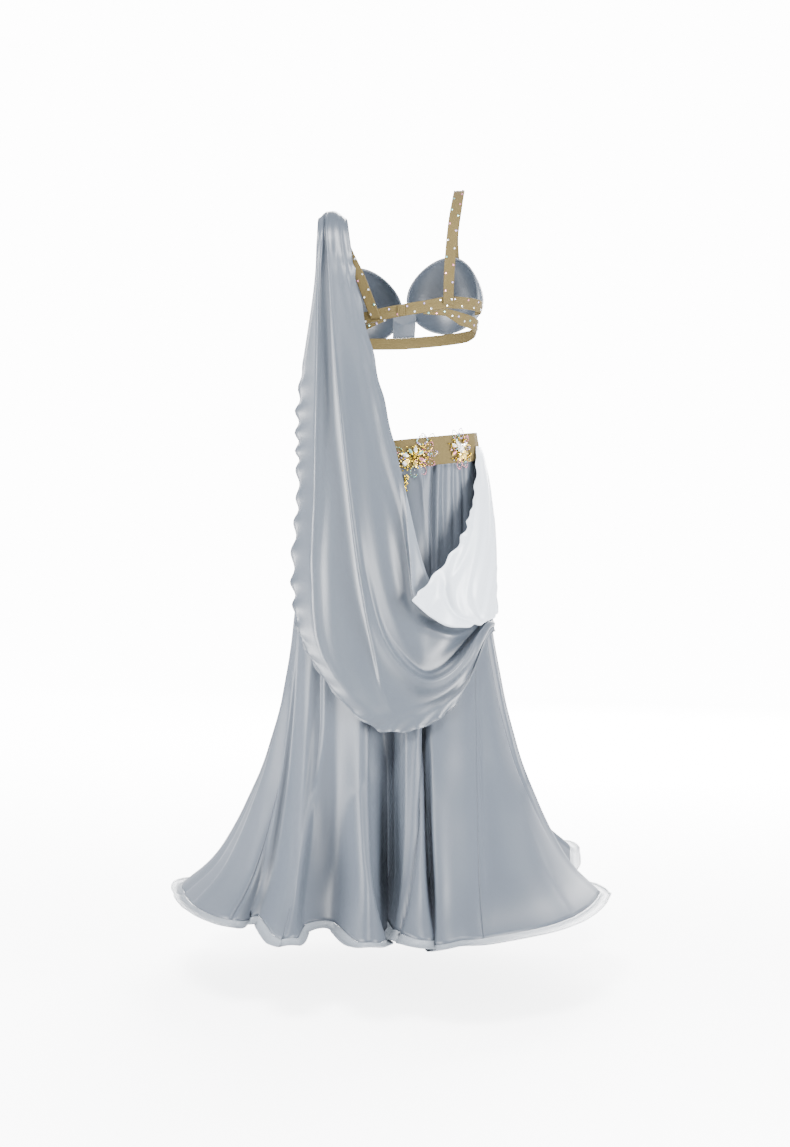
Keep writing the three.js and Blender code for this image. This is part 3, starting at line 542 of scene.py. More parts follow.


# Folds placed one by one. Each row: name (a star marks a pressed crest), widths to the left and
# right and a shift sideways in millimetres, then stations of the way down the grid, the way
# across it and the height in millimetres.
SKIRT_LINES = fold_table("""
first crease hollow: 26 6 -9: .3 .067 0, .5 .0685 -5.6, .76 .0751 -7.2, .94 .08 -7.2, 1 .08 -6.4
first crease edge*: 10 40 0: .4 .067 0, .52 .0687 1.3, .76 .0751 2.1, .94 .08 2.1, 1 .08 1.7
second crease wedge: 20 6 0: .3 .146 0, .45 .15 -7.7, .59 .1557 -8.3, .68 .1507 -4.5, .74 .136 -3.2,
  .84 .1228 -3.2, .94 .1277 -5.1, 1 .1277 -3.8
second crease shoulder: 16 40 16: .4 .15 0, .56 .1557 3, .7 .149 3.6, .84 .1228 3.6, 1 .1277 2.4
third lobe right edge*: 44 6 0: .42 .221 0, .56 .2195 6, .7 .218 7, .84 .2215 7, 1 .236 5
third lobe shade: 10 34 22: .42 .221 0, .56 .2195 -10, .7 .218 -10.5, .84 .2215 -9, 1 .236 -6
valley first rib: 7 9 0: .45 .268 0, .65 .2642 2, .87 .2593 2, 1 .259 1
valley second rib: 6 9 0: .45 .283 0, .7 .2807 2.5, .9 .2839 2, 1 .284 1
fourth lobe left light: 8 7 0: .48 .305 0, .58 .3053 4.2, .72 .3043 4.2, .8 .303 3, .95 .2987 3.6,
  1 .298 2.4
fourth lobe right light: 6 5 0: .46 .322 0, .59 .3168 3.6, .68 .3125 3, .8 .308 1.2, .9 .306 0
fourth lobe narrow dark line: 5 6 0: .48 .336 0, .58 .333 -7, .72 .3201 -8, .8 .3135 -8, .93 .3045 -6,
  1 .3 -4
narrow crease: 5 5 0: .28 .345 0, .5 .341 -7, .66 .335 -8, .86 .3333 -8, 1 .3432 -9
fifth lobe left edge: 5 12 11: .4 .345 0, .58 .339 5.6, .76 .3333 6.4, .92 .3333 5.6, 1 .3432 3.2
fifth lobe soft middle: 46 50 0: .45 .392 0, .6 .39 5, .8 .385 6, .93 .385 3, 1 .385 0
right lobe shade by the seam: 8 24 10: .48 .4385 0, .62 .437 -5, .8 .4375 -5, .92 .4366 -2, 1 .436 0
right lobe light streak: 30 26 0: .7 .478 0, .86 .481 5, .94 .48 6, 1 .478 2
right side hollow: 6 7 0: .28 .468 0, .39 .4747 -4.8, .52 .4895 -5.4, .65 .4978 -4.8, .76 .5076 -3,
  .86 .512 0
right side outer strip: 5 16 11: .3 .468 0, .39 .4747 3, .52 .4895 3.6, .65 .4978 3, .8 .509 0
belt deep pleat: 4.5 4 0: -.02 .3585 -4.5, .03 .359 -8.1, .12 .3605 -8.1, .22 .362 -5.4, .32 .363 0
belt pleat beside it: 4 6 7: -.02 .3585 3, .03 .359 5, .12 .3605 5, .22 .362 3, .32 .363 0
belt bright pleat*: 6 10 0: -.02 .306 4, .03 .32 9, .09 .334 4, .15 .34 0
belt third pleat: 4 4 0: -.02 .3728 -2.4, .04 .3728 -3.6, .1 .3744 -3, .2 .376 0
belt fourth pleat: 5 5 0: -.02 .3876 -2.4, .04 .3876 -3.6, .12 .3895 -3.6, .24 .391 0
belt pleat under the flap: 5 5 0: -.02 .402 -2, .04 .403 -4, .14 .4057 -4, .3 .407 0
""")


def hidden_line(name, turn, depth, left, right):
    """A fold on a side that the main view hides: it runs down one flute of the hem."""
    u = fraction_of(name, turn) % 1
    line = [(0.26, u, 0), (0.5, u, depth * 0.8), (0.86, u, depth), (1.0, u, depth * 0.7)]
    return dict(left=left, right=right, shift=0, sharp=False, line=np.array(line))


# Flute, steps past it, depth, width to the left and to the right.
HIDDEN_LINES = """
right_side_ridge 0.1 5 18 9, right_side_valley 0 -10 12 7, right_front_ridge -0.4 5 8 20,
right_front_valley 0.1 -10 7 11, front_right_turn 0.3 5 22 9, front_right_valley -0.1 -11 12 6,
front_turn 0.5 5 10 24, front_valley 0.1 -11 7 12, front_left_turn 0.4 5 20 8,
front_left_valley 0 -10 11 6, left_front_turn 0.6 5 9 18, left_front_valley 0 -9 9 12,
left_side_ridge 0.5 -5 26 14, left_side_ridge 1.1 4 12 26
"""
for row in HIDDEN_LINES.split(","):
    name, *numbers = row.split()
    SKIRT_LINES.append(hidden_line(name, *map(float, numbers)))


def distance_along(points):
    """How far along its row each point of a grid lies, in millimetres."""
    return lengths_along(np.swapaxes(points, 0, 1)).T


def fold_profile(x, left, right, sharp):
    """Height of a fold across its line: a bell, or a pressed crest that falls off as exp(-|x|)."""
    x = x / np.where(x < 0, left, right)
    return np.exp(-(np.sqrt(x * x + 0.02) - 0.14)) if sharp else bell(x)


def raise_lines(points, u, v, lines, wraps=False):
    """Moves a grid along its normals by the sum of the folds. u and v are the grid's even
    stops across and down; where it wraps, each line is also tried a turn back and a turn on."""
    along = distance_along(points)
    relief = np.zeros(points.shape[:2])
    for fold, turn in itertools.product(lines, (-1, 0, 1) if wraps else (0,)):
        at, place, height = fold["line"].T
        centre = eased(v, at, place) + turn
        if centre.max() < u[0] or centre.min() > u[-1]:
            continue
        column = np.clip((centre - u[0]) / (u[-1] - u[0]) * (len(u) - 1), 0, len(u) - 1.001)
        i = column.astype(int)[:, None]
        here, after = np.take_along_axis(along, i, 1), np.take_along_axis(along, i + 1, 1)
        beside = along - mix(here, after, column[:, None] - i) - fold["shift"]
        tall = eased(v, at, height, left=0 if at[0] > 0 else height[0])[:, None]
        relief += tall * fold_profile(beside, fold["left"], fold["right"], fold["sharp"])
    return points + grid_normals(points) * relief[..., None]


def flare_hem(points, drop, start=0.85, rise=15):
    """Turns the last stretch above the hem outwards, as the stiff braid holds it: 15 mm x³."""
    out = rise * np.clip((drop - start) / (1 - start), 0, 1) ** 3
    return points + grid_normals(points) * out[..., None]


COLUMNS_PER_GATHER, SKIRT_ROWS = 14, 170
FIRST_GATHER, SPARE = 3, 2
skirt_columns = np.arange((GATHERS + 2 * SPARE) * COLUMNS_PER_GATHER + 1)
skirt_u = (FIRST_GATHER - SPARE + skirt_columns / COLUMNS_PER_GATHER) / GATHERS
hem_fall = -BELT_HEIGHT - HEM_Z
braid_top = 1 - 0.45 * BRAID_HEIGHT / hem_fall
skirt_v = np.linspace(0, 1, SKIRT_ROWS) ** 1.15
SKIRT_FRACTION, SKIRT_DROP = np.meshgrid(skirt_u, skirt_v)
skirt_all = skirt_surface(SKIRT_FRACTION, SKIRT_DROP)
skirt_all = raise_lines(skirt_all, skirt_u, skirt_v, SKIRT_LINES, wraps=True)
skirt_all = flare_hem(skirt_all, SKIRT_DROP)
# The grid is two gathers too long at both ends, so that its seam has no break. Cut that off.
spare = SPARE * COLUMNS_PER_GATHER
skirt_out = grid_normals(skirt_all)[:, spare:-spare]
skirt_all, skirt_u = skirt_all[:, spare:-spare], skirt_u[spare:-spare]
print("skirt grid:", skirt_all.shape, "area %.2f m2" % grid_area(skirt_all))

# %% [markdown]
# ## Four gores
# The skirt is cut in four gores and sewn edge to edge. Each gore is a slice of the grid. At
# its two seams the cloth dips slightly, where the stitches pull it in, and the edges are held
# a hair apart.

# %% Cut the gores
GORES = [
    dict(name="skirt_back", first=3, gathers=16), dict(name="skirt_right", first=19, gathers=10),
    dict(name="skirt_front", first=29, gathers=9), dict(name="skirt_left", first=38, gathers=9),
]
SEAM_DIP, SEAM_REACH = 1.1, 5.0


def trim_rows(points, bottom):
    """A grid read down to a fraction of its height, straight between its rows."""
    rows = len(points)
    place = np.linspace(0, bottom, rows) * (rows - 1)
    i = np.minimum(place.astype(int), rows - 2)
    return mix(points[i], points[i + 1], (place - i)[:, None, None])


def dip_at_seams(points, out):
    """Sinks the two side edges of a gore by a bell of their distance from the seam, against
    the normals of the whole skirt, so that both sides of a seam move the same way."""
    along = distance_along(points)
    from_end = along[:, -1:] - along
    dip = bell(along / SEAM_REACH) + bell(from_end / SEAM_REACH)
    moved = points - out * (SEAM_DIP * dip)[..., None]
    for edge, inner in ((0, 1), (-1, -2)):
        moved[:, edge] += unit(moved[:, inner] - moved[:, edge]) * SEAM_GAP / 2
    return moved


row_of_braid = float(np.interp(braid_top - 0.4 / hem_fall, skirt_v, np.linspace(0, 1, SKIRT_ROWS)))
skirt_cloth = trim_rows(skirt_all, row_of_braid)
cloth_out = trim_rows(skirt_out, row_of_braid)
cloth_out = np.concatenate([cloth_out[:1], cloth_out])


def tucked_row(u, up=3, inward=2.1):
    """A row above the gores' top edge, up behind the belt, where they are sewn to it."""
    angle = hip_angle(flute_place(u))
    edge = hip_point(angle, np.full_like(angle, -BELT_HEIGHT))
    return hip_point(angle, -BELT_HEIGHT + up + BELT_RISE * edge[..., 0], -inward)


skirt_cloth = np.concatenate([tucked_row(skirt_u)[None], skirt_cloth])
gore_objects = {}
for gore in GORES:
    name = gore["name"]
    start = (gore["first"] - FIRST_GATHER) * COLUMNS_PER_GATHER
    cut = slice(start, start + gore["gathers"] * COLUMNS_PER_GATHER + 1)
    part = dip_at_seams(skirt_cloth[:, cut], cloth_out[:, cut])
    gore_objects[name] = grid_object("satin_" + name, part, SKIRT_SATIN, SATIN_WALL)
    print(name, "area %.3f m2, hem %.2f m" % (grid_area(part), lengths_along(part[-1])[-1] * MM))

# %% [markdown]
# ## The hem braid
# The braid goes once round, below the edge of the gores. It is stiff, so it springs outwards:
# each short length of it bends away from the cloth's own direction by a little more, and in
# some places it curls right up. A table says how far it has bent at its free edge.

# %% Build the braid
BRAID_BEND = table("u bend", """
0 104, .045 88, .075 40, .115 34, .15 66, .2 58, .235 96, .256 62, .29 34, .325 44, .35 76, .4 60,
.44 46, .475 64, .515 92, .57 98, .64 60, .7 82, .76 54, .82 84, .88 58, .94 90, 1 104
""")


def even_out(directions, reach=9):
    """Directions round a closed line, each averaged with its neighbours, of length 1."""
    return unit(sum(np.roll(directions, k, 0) for k in range(-reach, reach + 1)))


def hem_braid_grid(rows=10):
    """From the gores' lower edge the braid runs on, and its direction turns from down the cloth
    to outwards: each step adds cos(a) of the one and sin(a) of the other, a growing with v."""
    edge, above = skirt_cloth[-1, :-1], skirt_cloth[-4, :-1]
    down = even_out(edge - above)
    out = even_out(skirt_out[-1, :-1])
    bend = np.radians(np.interp(skirt_u[:-1] % 1, *BRAID_BEND.values()))
    step = BRAID_LENGTH / (rows - 1)
    grid = [edge + down * SEAM_GAP]
    for k in range(1, rows):
        angle = (bend * ((k - 0.5) / (rows - 1)) ** 1.2)[:, None]
        grid.append(grid[-1] + step * (np.cos(angle) * down + np.sin(angle) * out))
    return np.array(grid)


braid_grid = hem_braid_grid()
braid = grid_object("braid_hem", braid_grid, BRAID, BRAID_WALL, closed=True)
print("hem braid: %.2f m round" % (lengths_along(braid_grid[-1])[-1] * MM))

# %% [markdown]
# ## The hip belt
# The belt is one band of net round the hips, higher on the right side. Its two edges are
# turned over, so a narrow ridge runs along each, and small stitches hold the turned edge.

# %% Build the belt
BELT_COLUMNS, BELT_ROWS, RIDGE_ROOM = 360, 24, 0.4


def net_object(name, points, closed=False):
    """A piece of net. Its turned edges are raised, so its wall leaves room for them."""
    return grid_object(name, points, NET, NET_WALL - RIDGE_ROOM, closed)


def belt_z(angle, drop):
    """Height on the belt: drop below its top edge, which rises towards the wearer's right."""
    return -drop + BELT_RISE * hip_point(angle, -drop * np.ones_like(angle))[..., 0]


def belt_point(angle, drop, out=0.0):
    """A point on the belt's middle layer, or so far off it."""
    return hip_point(angle, belt_z(angle, drop), out)


def belt_surface(angle, v):
    """The belt, with a raised ridge 3 mm from each edge and faint ripples from its stretch."""
    ridge = 0.5 * (bell((v - 0.06) / 0.05) + bell((v - 0.94) / 0.05))
    ripple = 0.35 * np.sin(np.radians(angle) * 31 + 4 * v) * np.sin(np.pi * v)
    return belt_point(angle, BELT_HEIGHT * v, ridge + ripple - 0.15)


belt_angles = np.arange(BELT_COLUMNS) * 360 / BELT_COLUMNS
belt_grid = belt_surface(*np.meshgrid(belt_angles, np.linspace(0, 1, BELT_ROWS)))
belt = net_object("net_hip_belt", belt_grid, closed=True)
print("belt built")

# %% [markdown]
# ## The drape
# The drape is one long piece of satin. Its folds start together at the shoulder, run down the
# back side by side, then swing round into swags and meet again at the right hip. Every fold
# is one line through given stations, and the cloth is the surface through all of the
# lines. Its relief says how far a fold stands out behind the back.

# %% Tables of the drape
# Fold lines from the hem up: hem, its ridge, long valley, roll, swag, valley, ridge, upper edge.
# Each row: relief, height of its end, x at the shoulder, blade, waist and hip, then x and z of
# its bend, low point, turn and rise.
SHOULDER_Z, BACK_HEIGHTS = 430, (274, 72, -92)
DRAPE_FOLDS = number_rows("""
0 -362 -150 -158 -189 -190 -200 -256 -172 -391 -48 -525 84 -501,
8 -354 -145 -149 -149 -148 -146 -256 -118 -410 -19 -505 106 -468,
-8 -348 -138 -136 -127 -113 -99 -256 -58 -401 20 -479 113 -444,
13 -343 -131 -123 -108 -92 -68 -247 -27 -360 45 -437 114 -407,
2 -338 -124 -109 -86 -62 -37 -238 -2 -335 46 -386 106 -380,
-8 -334 -117 -94 -62 -30 -7 -210 18 -303 52 -340 104 -352,
6 -331 -111 -85 -41 -4 13 -201 28 -280 58 -314 106 -330,
0 -324 -106 -77 -30 8 30 -188 50 -250 80 -284 118 -304
""")
DRAPE_END_X = 165
DRAPE_ROOM = table("z left right depth", """
300 -192 150 118, 72 -212 150 132, -92 -206 172 144, -200 -216 176 150, -300 -220 178 160,
-400 -228 188 170, -540 -262 214 190
""")
SHOULDER_ARCH = table("y below", "66 40, 34 13, 0 0, -46 14, -84 62")


def drape_depth(x, z):
    """How far behind the figure the drape hangs: depth times sqrt(1 - |side|^2.4)."""
    left = read_table(DRAPE_ROOM, z, "left")
    right = read_table(DRAPE_ROOM, z, "right")
    side = np.minimum(np.abs((x - (left + right) / 2) / ((right - left) / 2)), 0.985)
    return read_table(DRAPE_ROOM, z, "depth") * np.sqrt(1 - side**2.4)


def fold_stations(relief, end, shoulder, blade, waist, hip, *lower):
    """The stations of one fold line, from its front end over the shoulder to the right hip."""
    places = [*zip((blade, waist, hip), BACK_HEIGHTS), *zip(lower[::2], lower[1::2])]
    shares = (0.15, 0.2, 0.25, 0.35, 0.45, 0.55, 0.5)
    back = [(x, -drape_depth(x, z) - relief * share, z) for (x, z), share in zip(places, shares)]
    arch = [(mix(shoulder, blade, max(0, -y) / 200), y * (1 + (relief * 0.003 if y < 0 else 0)),
             SHOULDER_Z - below) for y, below in zip(*SHOULDER_ARCH.values())]
    side_z = mix(end, -350, 0.4)
    return arch + back + [(DRAPE_END_X, -74 - relief * 0.3, end),
                          (DRAPE_END_X + 12 + 0.2 * (-330 - side_z), -16, side_z)]


FOLD_STATIONS = np.array([fold_stations(*fold) for fold in DRAPE_FOLDS])


def surface_through(stations, u, v):
    """A surface: a cubic along each line of stations (v), then a cubic across the lines (u)."""
    lines = smooth_through(np.moveaxis(stations, 1, 0), v)
    return np.stack([smooth_through(line, u) for line in lines])


print("fold lines:", FOLD_STATIONS.shape)

# %% [markdown]
# ## The drape's creases
# The cubic lines give the drape its large swing. Its character comes from a few pressed
# creases: two long ones from the shoulder, a roll that swings into a swag, and small ones that
# fan out from the tack at the hip. The free edges are rolled on a stretchy overlock, so they
# ripple like lettuce.

# %% Build the drape
DRAPE_LINES = fold_table("""
first crease*: 26 9 0: .17 .2 0, .21 .19 4, .36 .155 5, .476 .134 5, .6 .115 5, .67 .101 3, .7 .095 0
shade after the first crease: 10 16 20: .17 .19 0, .23 .18 -3, .38 .15 -3, .5 .13 -3, .66 .1 -2, .8 .1 0
second crease hollow: 24 5 -8: .17 .3 0, .25 .309 -3, .358 .389 -4, .424 .403 -5, .47 .423 -6,
  .555 .4295 -6, .616 .423 -5, .6725 .376 -3, .707 .309 -1, .75 .208 0
second crease edge*: 3.5 26 0: .17 .28 0, .2 .29 3, .25 .309 4, .358 .389 5, .424 .403 5.5, .47 .423 6,
  .555 .4295 6, .616 .423 6, .6725 .376 5, .707 .309 4, .75 .208 2, .8 .12 0
first crease pressed edge: 3 2.6 0: .17 .2 0, .21 .19 1.8, .36 .155 2.8, .476 .134 2.8, .6 .115 2.8,
  .67 .101 1.8, .7 .095 0
second crease pressed edge: 3 2.6 0: .17 .28 0, .2 .29 1.5, .25 .309 2.3, .358 .389 2.4, .424 .403 3,
  .47 .423 3, .555 .4295 3, .616 .423 3, .6725 .376 2.3, .707 .309 1.5, .75 .208 0
roll pressed edge: 4 3 3: .62 .452 0, .67 .425 1.5, .72 .398 3, .777 .425 4, .847 .43 4, .8865 .517 3,
  .915 .6 0
fold near the shoulder: 9 22 0: .16 .62 0, .2 .62 3, .28 .64 4, .38 .68 3, .47 .72 0
panel right of it dip: 20 26 40: .4 .403 0, .47 .423 -3, .555 .4295 -5, .64 .41 -5, .7 .4 -3, .74 .4 0
roll of the swag: 20 7 0: .56 .455 0, .62 .452 3.6, .67 .425 7.2, .72 .398 10.8, .777 .425 13.2,
  .847 .43 12, .8865 .517 8.4, .915 .6 3.6
crease above the roll: 5 24 0: .7 .47 0, .74 .47 -6, .8 .485 -12, .847 .525 -13, .88 .6 -9, .91 .7 -2,
  .93 .74 0
second swag: 8 6 0: .7 .66 0, .75 .68 2, .79 .698 4, .85 .665 5, .89 .66 4, .92 .68 1
shade under the flap: 9 12 0: .7 .78 0, .74 .77 -6, .79 .78 -11, .85 .76 -9, .89 .76 -4, .92 .76 0
light by the upper edge: 12 8 0: .4 .9 0, .46 .886 3, .51 .873 3, .55 .93 2, .58 .97 0
hollow by the upper edge: 18 12 0: .47 .7 0, .524 .7315 -4, .56 .8 -6, .62 .82 -7, .664 .78 -5, .7 .75 0
turned edge hollow before it: 30 5 -8: .5 1 0, .535 .985 -3, .56 .92 -6, .6 .886 -8, .64 .8725 -9,
  .69 .82 -7, .72 .8 0
turned edge crease*: 4 40 0: .535 .985 0, .56 .92 4, .6 .886 6, .64 .8725 6, .69 .82 4, .72 .8 0
lower hem light: 16 12 0: .78 .22 0, .82 .245 2.1, .865 .3087 3.5, .895 .43 3.5, .92 .55 1.4
lower hem hollow: 10 8 0: .82 .34 0, .85 .345 -1.5, .875 .39 -3, .9 .5 -3, .92 .6 -1.5
""")
TURNED_EDGE = table("v u", ".535 .985, .56 .92, .6 .886, .64 .8725, .69 .82, .72 .8, .76 .8")
# Crests of the rippled edges, as ways down the drape, with the height of each ripple.
LOWER_RIPPLES = table("crest height", """
.43 0, .447 3, .465 6, .483 5, .499 5, .515 5, .54 4, .56 5, .585 5, .615 6, .64 5, .663 5, .685 4,
.705 5, .727 4, .752 4, .778 5, .803 4, .826 4, .85 4, .874 3, .9 0
""")
UPPER_RIPPLES = table("crest height", ".33 0, .36 3, .395 2.5, .43 3, .46 2, .5 1, .53 0")


def ripple_edge(points, v, ripples, at_start, reach=15):
    """Waves a side edge of a grid like lettuce: in its plane by the cosine of a phase that
    counts the ripples, and out of it by the sine. Both fade as exp(-distance / reach)."""
    crest, height = ripples.values()
    phase = TAU * np.interp(v, crest, np.arange(len(crest)))[:, None]
    tall = np.interp(v, crest, height)[:, None]
    along = distance_along(points)
    distance = along if at_start else along[:, -1:] - along
    outward = unit(np.gradient(points, axis=1)) * (-1 if at_start else 1)
    fade = tall * np.exp(-distance / reach)
    in_plane = (0.8 * fade * np.cos(phase))[..., None] * outward
    out_of_plane = (0.9 * fade * np.sin(phase))[..., None] * grid_normals(points)
    return points + in_plane + out_of_plane


def roll_edges(points, radius=1.6, reach=3.5):
    """A rolled hem: the last few millimetres at both side edges stand out a little."""
    along = distance_along(points)
    edge = np.minimum(along, along[:, -1:] - along)
    return points + grid_normals(points) * (radius * bell(edge / reach))[..., None]


def crown_shoulder(points):
    """Bends cloth down to both sides of the left shoulder's crown: 13 mm (x/22)² exp(-(y/60)²)."""
    x, y = points[..., 0] + 127, points[..., 1]
    fall = 13 * np.minimum((x / 22) ** 2, 1.4) * np.exp(-(y / 60) ** 2)
    return points - fall[..., None] * (0.0, 0.0, 1.0)


DRAPE_COLUMNS, DRAPE_ROWS = 152, 310
drape_u = np.linspace(0, 1, DRAPE_COLUMNS)
drape_v = np.linspace(0, 0.95, DRAPE_ROWS)
drape_grid = surface_through(FOLD_STATIONS, drape_u, drape_v)
drape_grid = crown_shoulder(raise_lines(drape_grid, drape_u, drape_v, DRAPE_LINES))
drape_grid = ripple_edge(drape_grid, drape_v, LOWER_RIPPLES, at_start=True)
drape_grid = ripple_edge(drape_grid, drape_v, UPPER_RIPPLES, at_start=False)
drape_grid = roll_edges(drape_grid)
drape = grid_object("satin_drape", drape_grid, SATIN, SATIN_WALL)
# The faces past the turned edge's crease take the darker copy of the reverse: painted shade.
drape.data.materials.append(SATIN_SHADED)
edge_u = np.interp(drape_v, *TURNED_EDGE.values(), left=2, right=2)
reverse_shows = (drape_u[None, :-1] > edge_u[:-1, None]).ravel()
drape.data.polygons.foreach_set("material_index", reverse_shows.astype(np.int32))
print("drape area %.3f m2, turned edge faces: %d" % (grid_area(drape_grid), reverse_shows.sum()))

# %% [markdown]
# ## The hip flap
# At the right hip the drape's upper part turns over and climbs to the belt, so that its
# reverse shows as a bright panel with a wavy rolled edge.

# %% Build the flap
FLAP_TOP_Z, FACET_ROOM = -12, 0.5
# Ribs from the wavy edge to the front: angle at the belt, then an upper, a lower and a foot point.
FLAP_RIBS = number_rows("""
69 136 -99 -102 104 -150 -193 25 -182 -288,
75 147 -86 -99 127 -140 -206 58 -190 -316,
82 157 -62 -100 145 -118 -212 100 -178 -337,
91 168 -22 -101 172 -62 -214 160 -102 -334,
104 168 30 -100 180 24 -212 186 10 -326
""")
seat_out = NET_WALL / 2 + SEAM_GAP + SATIN_WALL / 2 + FACET_ROOM
RIB_STATIONS = np.array([[hip_point(rib[0], FLAP_TOP_Z, seat_out), *rib[1:].reshape(3, 3)]
                         for rib in FLAP_RIBS])
FLAP_LINES = fold_table("""
light down the middle: 12 16 0: .05 .62 2, .3 .6 4, .6 .58 5, .9 .6 3, 1 .62 2
hollow behind the free edge: 8 10 0: .1 .14 0, .3 .17 -3, .5 .2 -5, .7 .22 -5, .88 .22 -3, 1 .22 0
fold to the tack: 7 9 0: .5 .34 0, .7 .4 2.8, .85 .5 4.2, .96 .64 3.5, 1 .68 2.1
hollow to the tack: 6 7 0: .62 .46 0, .78 .52 -2, .9 .62 -3, 1 .72 -1
turned-up corner hollow: 16 9 0: .7 -.02 0, .8 .12 -7, .88 .32 -12, .94 .55 -9, 1 .66 -1
side fold: 9 9 0: -.02 .78 2, .2 .765 4, .5 .75 5, .8 .73 6, 1 .71 5
side hollow: 6 12 0: -.02 .815 -3, .2 .81 -5, .5 .805 -6, .8 .79 -6, 1 .78 -4
front fold: 8 13 0: -.02 .865 3, .2 .868 5, .5 .87 6, .8 .865 5, 1 .86 4
front hollow: 7 5 0: -.02 .92 -2, .2 .925 -4, .5 .935 -5, .8 .94 -4, 1 .945 -3
""")
FLAP_FRONT_RIPPLES = table("crest height", ".05 0, .2 3, .34 -3, .47 4, .6 -3, .72 4, .86 -2, 1 0")
FLAP_RIPPLES = table("crest height", ".06 0, .16 2, .3 3, .42 -3, .52 4, .62 3.5, .73 3, .84 3, .95 2, 1 0")
flap_u = np.linspace(0, 1, 110)
flap_v = np.linspace(0, 1, 130)
flap_grid = raise_lines(surface_through(RIB_STATIONS, flap_u, flap_v), flap_u, flap_v, FLAP_LINES)
flap_grid = ripple_edge(flap_grid, flap_v, FLAP_RIPPLES, at_start=True, reach=10)
flap_grid = ripple_edge(flap_grid, flap_v, FLAP_FRONT_RIPPLES, at_start=False, reach=16)
flap_grid = roll_edges(flap_grid)


def turn_under(points, rows=14, radius=4.5):
    """Adds rows below a grid that turn its lower edge under, a little past a half circle."""
    normal = grid_normals(points)[-1]
    down = unit(points[-1] - points[-2])
    turn = np.linspace(0, 1, rows + 1)[1:, None, None] * math.radians(200)
    curl = points[-1] + radius * (np.sin(turn) * down - (1 - np.cos(turn)) * normal)
    return np.concatenate([points, curl])


flap_grid = turn_under(flap_grid)
flap = grid_object("satin_hip_flap", flap_grid, SATIN_REVERSE, SATIN_WALL)
print("flap area %.3f m2" % grid_area(flap_grid))

# %% [markdown]
# ## The bra
# The back band, the lower strap and the shoulder straps are net, each one a narrow surface on
# the rib cage or a ribbon along a curve. The cups are padded domes in satin.

# %% Build the band and the lower strap
BAND_HEIGHT, HOOK_ANGLE, STRAP_WIDTH = 22, -2.5, 20
BAND_LINE = table("angle band strap_top strap_bottom", """
-115 222 196 174, -62 221 205 184, -30 225 213.4 204, -14 233 221.4 219.4, 14 245 233.4 231.4,
32 254 242.4 229, 48 254 236 213, 90 250 222 199, 115 250 210 188, 180 238 199 177, 245 222 196 174,
298 221 205 184, 330 225 213.4 204, 346 233 221.4 219.4
""")


def band_line(angle, name):
    """Height of one named line of the bra at an angle."""
    return read_table(BAND_LINE, angle, name)


def band_grid(from_angle, to_angle, columns=120, rows=15):
    """One side of the back band, with a ridge at each turned edge and a groove along its middle."""
    angle, v = even_grid(from_angle, to_angle, columns, rows)
    ridge = 0.7 * (bell((v - 0.1) / 0.07) + bell((v - 0.9) / 0.07)) - 0.9 * bell((v - 0.45) / 0.06)
    return torso_point(angle, band_line(angle, "band") + BAND_HEIGHT * (0.5 - v), ridge)


def lower_strap_grid(columns=260, rows=11):
    """The lower strap between its two edge lines."""
    angle, v = even_grid(14, 346, columns, rows)
    z = mix(band_line(angle, "strap_top"), band_line(angle, "strap_bottom"), v)
    return torso_point(angle, z, 0.3 * np.sin(np.pi * v) - 0.15)


hook_gap = 0.06
band_right_grid = band_grid(HOOK_ANGLE + hook_gap, 112)
band_left_grid = band_grid(-112, HOOK_ANGLE - hook_gap)
band_right = net_object("net_band_right", band_right_grid)
band_left = net_object("net_band_left", band_left_grid)
lower_strap = net_object("net_lower_strap", lower_strap_grid())
print("band and lower strap built")

# %% Build the cups and the bridge
CUP_ANGLE, CUP_HALF_WIDTH, CUP_HALF_HEIGHT, CUP_DOME = 35, 74, 66, 52
CUP_Z, CUP_TILT, CUP_WALL, CUP_RADIUS = 262, 0.3, 2.5, 128
cup_out = NET_WALL / 2 + SEAM_GAP + CUP_WALL / 2


def cup_surface(side, s, t):
    """A dome on the rib cage. A square grid is bent to a disc, so there is no pole."""
    across = s * np.sqrt(1 - t * t / 2)
    up = t * np.sqrt(1 - s * s / 2)
    reach = np.minimum(across**2 + up**2, 1)
    angle = 180 - side * (CUP_ANGLE + np.degrees(across * CUP_HALF_WIDTH / CUP_RADIUS))
    peak = np.where(up > 0, 1 + 0.22 * up * up, 1)
    z = CUP_Z + side * CUP_ANGLE * CUP_TILT + up * CUP_HALF_HEIGHT * peak
    dome = CUP_DOME * (1 - reach) ** 0.68 * (1 - 0.25 * up)
    return torso_point(angle, z, cup_out + dome)


def cup_grid(side, steps=61):
    """One cup, 1 for the right and -1 for the left: the dome over s and t from -1 to 1."""
    s, t = np.meshgrid(-side * np.linspace(-1, 1, steps), np.linspace(1, -1, steps))
    return cup_surface(side, s, t)


def bridge_grid():
    """The small panel between the cups, down to the lower strap."""
    angle, v = even_grid(171, 189, 24, 12)
    top = band_line(angle, "band") + 14
    return torso_point(angle, mix(top, band_line(angle, "strap_top") + SEAM_GAP, v), 0)


cup_right = grid_object("satin_cup_right", cup_grid(1), SATIN, CUP_WALL)
cup_left = grid_object("satin_cup_left", cup_grid(-1), SATIN, CUP_WALL)
bridge = grid_object("satin_bridge", bridge_grid(), SATIN, NET_WALL)
print("cups built")

# %% Build the shoulder straps and the hook tab
def band_seat(angle, sag):
    """Where a strap is sewn on the band's outer face: x, y, z and the turn of its width."""
    z = band_line(angle, "band") - 4
    seat = torso_point(angle, z, NET_WALL + SEAM_GAP - sag)
    along = torso_point(angle + 3, z) - torso_point(angle - 3, z)
    return (*seat, math.degrees(math.atan2(along[1], along[0])))


